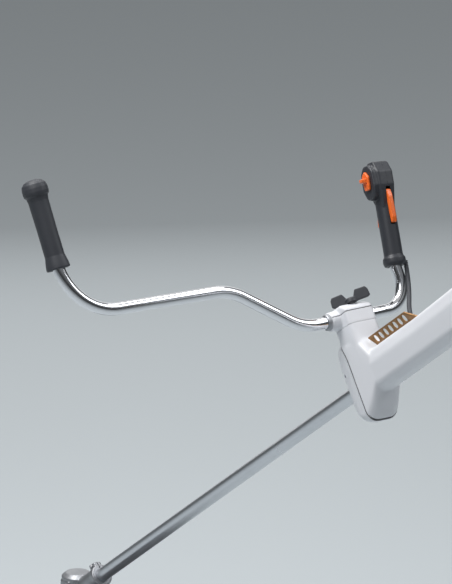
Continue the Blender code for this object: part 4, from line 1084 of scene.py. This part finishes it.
def makeGearHead():
    toHead = toMachine @ headAxes
    barrel = [(0, 41), (20, 41), (22, 40), (29, 34), (29, -28), (38, -28), (38, -33), (30, -33), (27, -36.5),
              (0, -36.5)]
    barrel = moved(spun(easedProfile(barrel, 1.6, 4), 72), toHead)
    along = facing(shaftLine, (cutter["headX"], 0, 0))
    tubeSocket = moved(spun(easedProfile([(0, -20), (19, -20), (19, -84), (21, -87), (21, -96), (19.5, -98),
                                          (0, -98)],
                                         1.2), 72), along)
    ribs = []
    for side in (1, -1):
        low, high = sorted((side * 20, side * 30))
        ribs.append(moved(bevelled(block((-14, low, -26), (14, high, 30)), 4, 3), toHead))
    clampEar = moved(bevelled(block((-8, 17, -96), (8, 27, -76)), 3, 3), along)
    slit = moved(block((-0.8, 10, -104), (0.8, 40, -70)), along)
    room = moved(rod(12.9, -120, -58), along)
    skin = moulded([barrel, tubeSocket, *ribs, clampEar], 0.9, 3)
    addPiece("gearHead", carved([skin], [slit, room]), machine, "cast", "machine", ["gear_head"])
    ear = machine @ along @ facing((1, 0, 0), (8, 22.5, -86))
    addPiece("headClampScrew", capScrew(5, 3.4), ear, "steel", "machine")
    plug = facing((1, 0, 0), (28, 0, 6))
    addPiece("greasePlug", carved([spun([(0, 3), (5.5, 3), (6.5, 2), (6.5, -2), (0, -2)], 6)],
                                  [rod(2, 1.5, 8, 6)]), headAxes @ plug, "steel", "machine")


def makeGuard():
    first, last = math.radians(cutter["guardFrom"]), math.radians(cutter["guardTo"])
    steps = 40
    top, drop, reach = cutter["guardTop"], cutter["guardDrop"], cutter["guardReach"]

    def arc(radius, start, end, push=0.0):
        return [(radius * math.cos(start + (end - start) * k / steps) + push,
                 radius * math.sin(start + (end - start) * k / steps)) for k in range(steps + 1)]

    plate = prism(arc(reach, first, last) + arc(30.3, last, first), top, top - 3, "Z")
    rim = prism(arc(reach, first, last) + arc(reach - 3, last, first), top, top - drop, "Z")
    parts = [plate, rim]
    for n in range(4):
        turn = first + (last - first) * (n + 1) / 5
        rib = block((66, -1.4, top - 12), (reach - 2, 1.4, top - 1))
        parts.append(moved(rib, Matrix.Rotation(turn, 4, "Z")))
    for radius in (90, 150):
        parts.append(prism(arc(radius, first, last) + arc(radius - 2.6, last, first), top - 1, top - 9, "Z"))
    for turn in (first, last):
        side = 1 if turn == first else -1
        edge = block((66, min(0, -side * 3), top - 20), (reach - 1, max(0, -side * 3), top - 1))
        parts.append(moved(edge, Matrix.Rotation(turn, 4, "Z")))
    skin = bevelled(carved(parts), 0.7, 2, 50)
    addPiece("guardShield", skin, headAxes, "handle", "machine", ["guard"])


def makeLineHead():
    shell = [(20, -42.4), (44, -45), (54, -52), (57, -62), (57, -79), (53.5, -79), (53.5, -62), (51, -54),
             (44, -49), (9, -48), (9, -52), (5.3, -52), (5.3, -42.4)]
    drum = spun([*easedProfile(shell, 1.6, 3)], 80, True)
    cuts = [moved(rod(2.4, 40, 70, 24), facing((0, side, 0), (0, 0, -70))) for side in (1, -1)]
    for n in range(12):
        cuts.append(moved(roundedBlock((26, -2.5, -47), (40, 2.5, -30), 2, 2),
                          Matrix.Rotation(tau * n / 12, 4, "Z")))
    addPiece("lineHead", carved([drum], cuts), headAxes, "handle", "line_head", ["line_head"])
    for n in range(16):
        turn = tau * (n + 0.5) / 16
        rib = bevelled(block((56.4, -1.6, -78), (58.2, 1.6, -62)), 0.6, 2)
        addPiece("headGrip_%d" % n, moved(rib, Matrix.Rotation(turn, 4, "Z")), headAxes, "handle",
                 "line_head")
    for side, label in ((1, "a"), (-1, "b")):
        eyelet = spun(easedProfile([(1.5, 52.8), (1.5, 58.8), (2.6, 59.8), (4.4, 59.2), (4.4, 57.6),
                                    (2.3, 57.2),
                                    (2.3, 52.8)], 0.3), 32, True)
        addPiece("lineEyelet_" + label, eyelet, headAxes @ facing((0, side, 0), (0, 0, -70)), "steel",
                 "line_head")
    cover = [(57, -79.3), (57, -84), (50, -90), (27, -92), (27, -88), (46, -86), (53, -82), (53, -79.3)]
    addPiece("lineHeadCover", spun(easedProfile(cover, 1.2, 3), 80, True), headAxes, "handle", "line_head",
             ["line_head_cover"])
    button = [(0, -81.3), (19, -81.3), (25, -84), (25, -98), (22, -104), (12, -107), (0, -107)]
    knob = spun(easedProfile(button, 2, 4), 72)
    flutes = [moved(rod(2.2, -110, -86, 16), Matrix.Rotation(tau * n / 12, 4,
                                                             "Z") @ Matrix.Translation((25.8, 0, 0)))
              for n in range(12)]
    addPiece("tapButton", carved([knob], flutes), headAxes, "handle", "tap_button", ["tap_button"])


for make in (makeGearHead, makeGuard, makeLineHead):
    make()
print("cutting head made")

# every other CAD node keeps its shape and gets its finish
slotOf = {entry["node"]: entry["material_slot"] for entry in frame["record"]["subparts"]}
for nodeName, node in frame["nodes"].items():
    node.data.materials.clear()
    node.data.materials.append(finishes[slotOf[nodeName]])
    node.data.shade_smooth()
    node.data.set_sharp_from_angle(angle=math.radians(35))
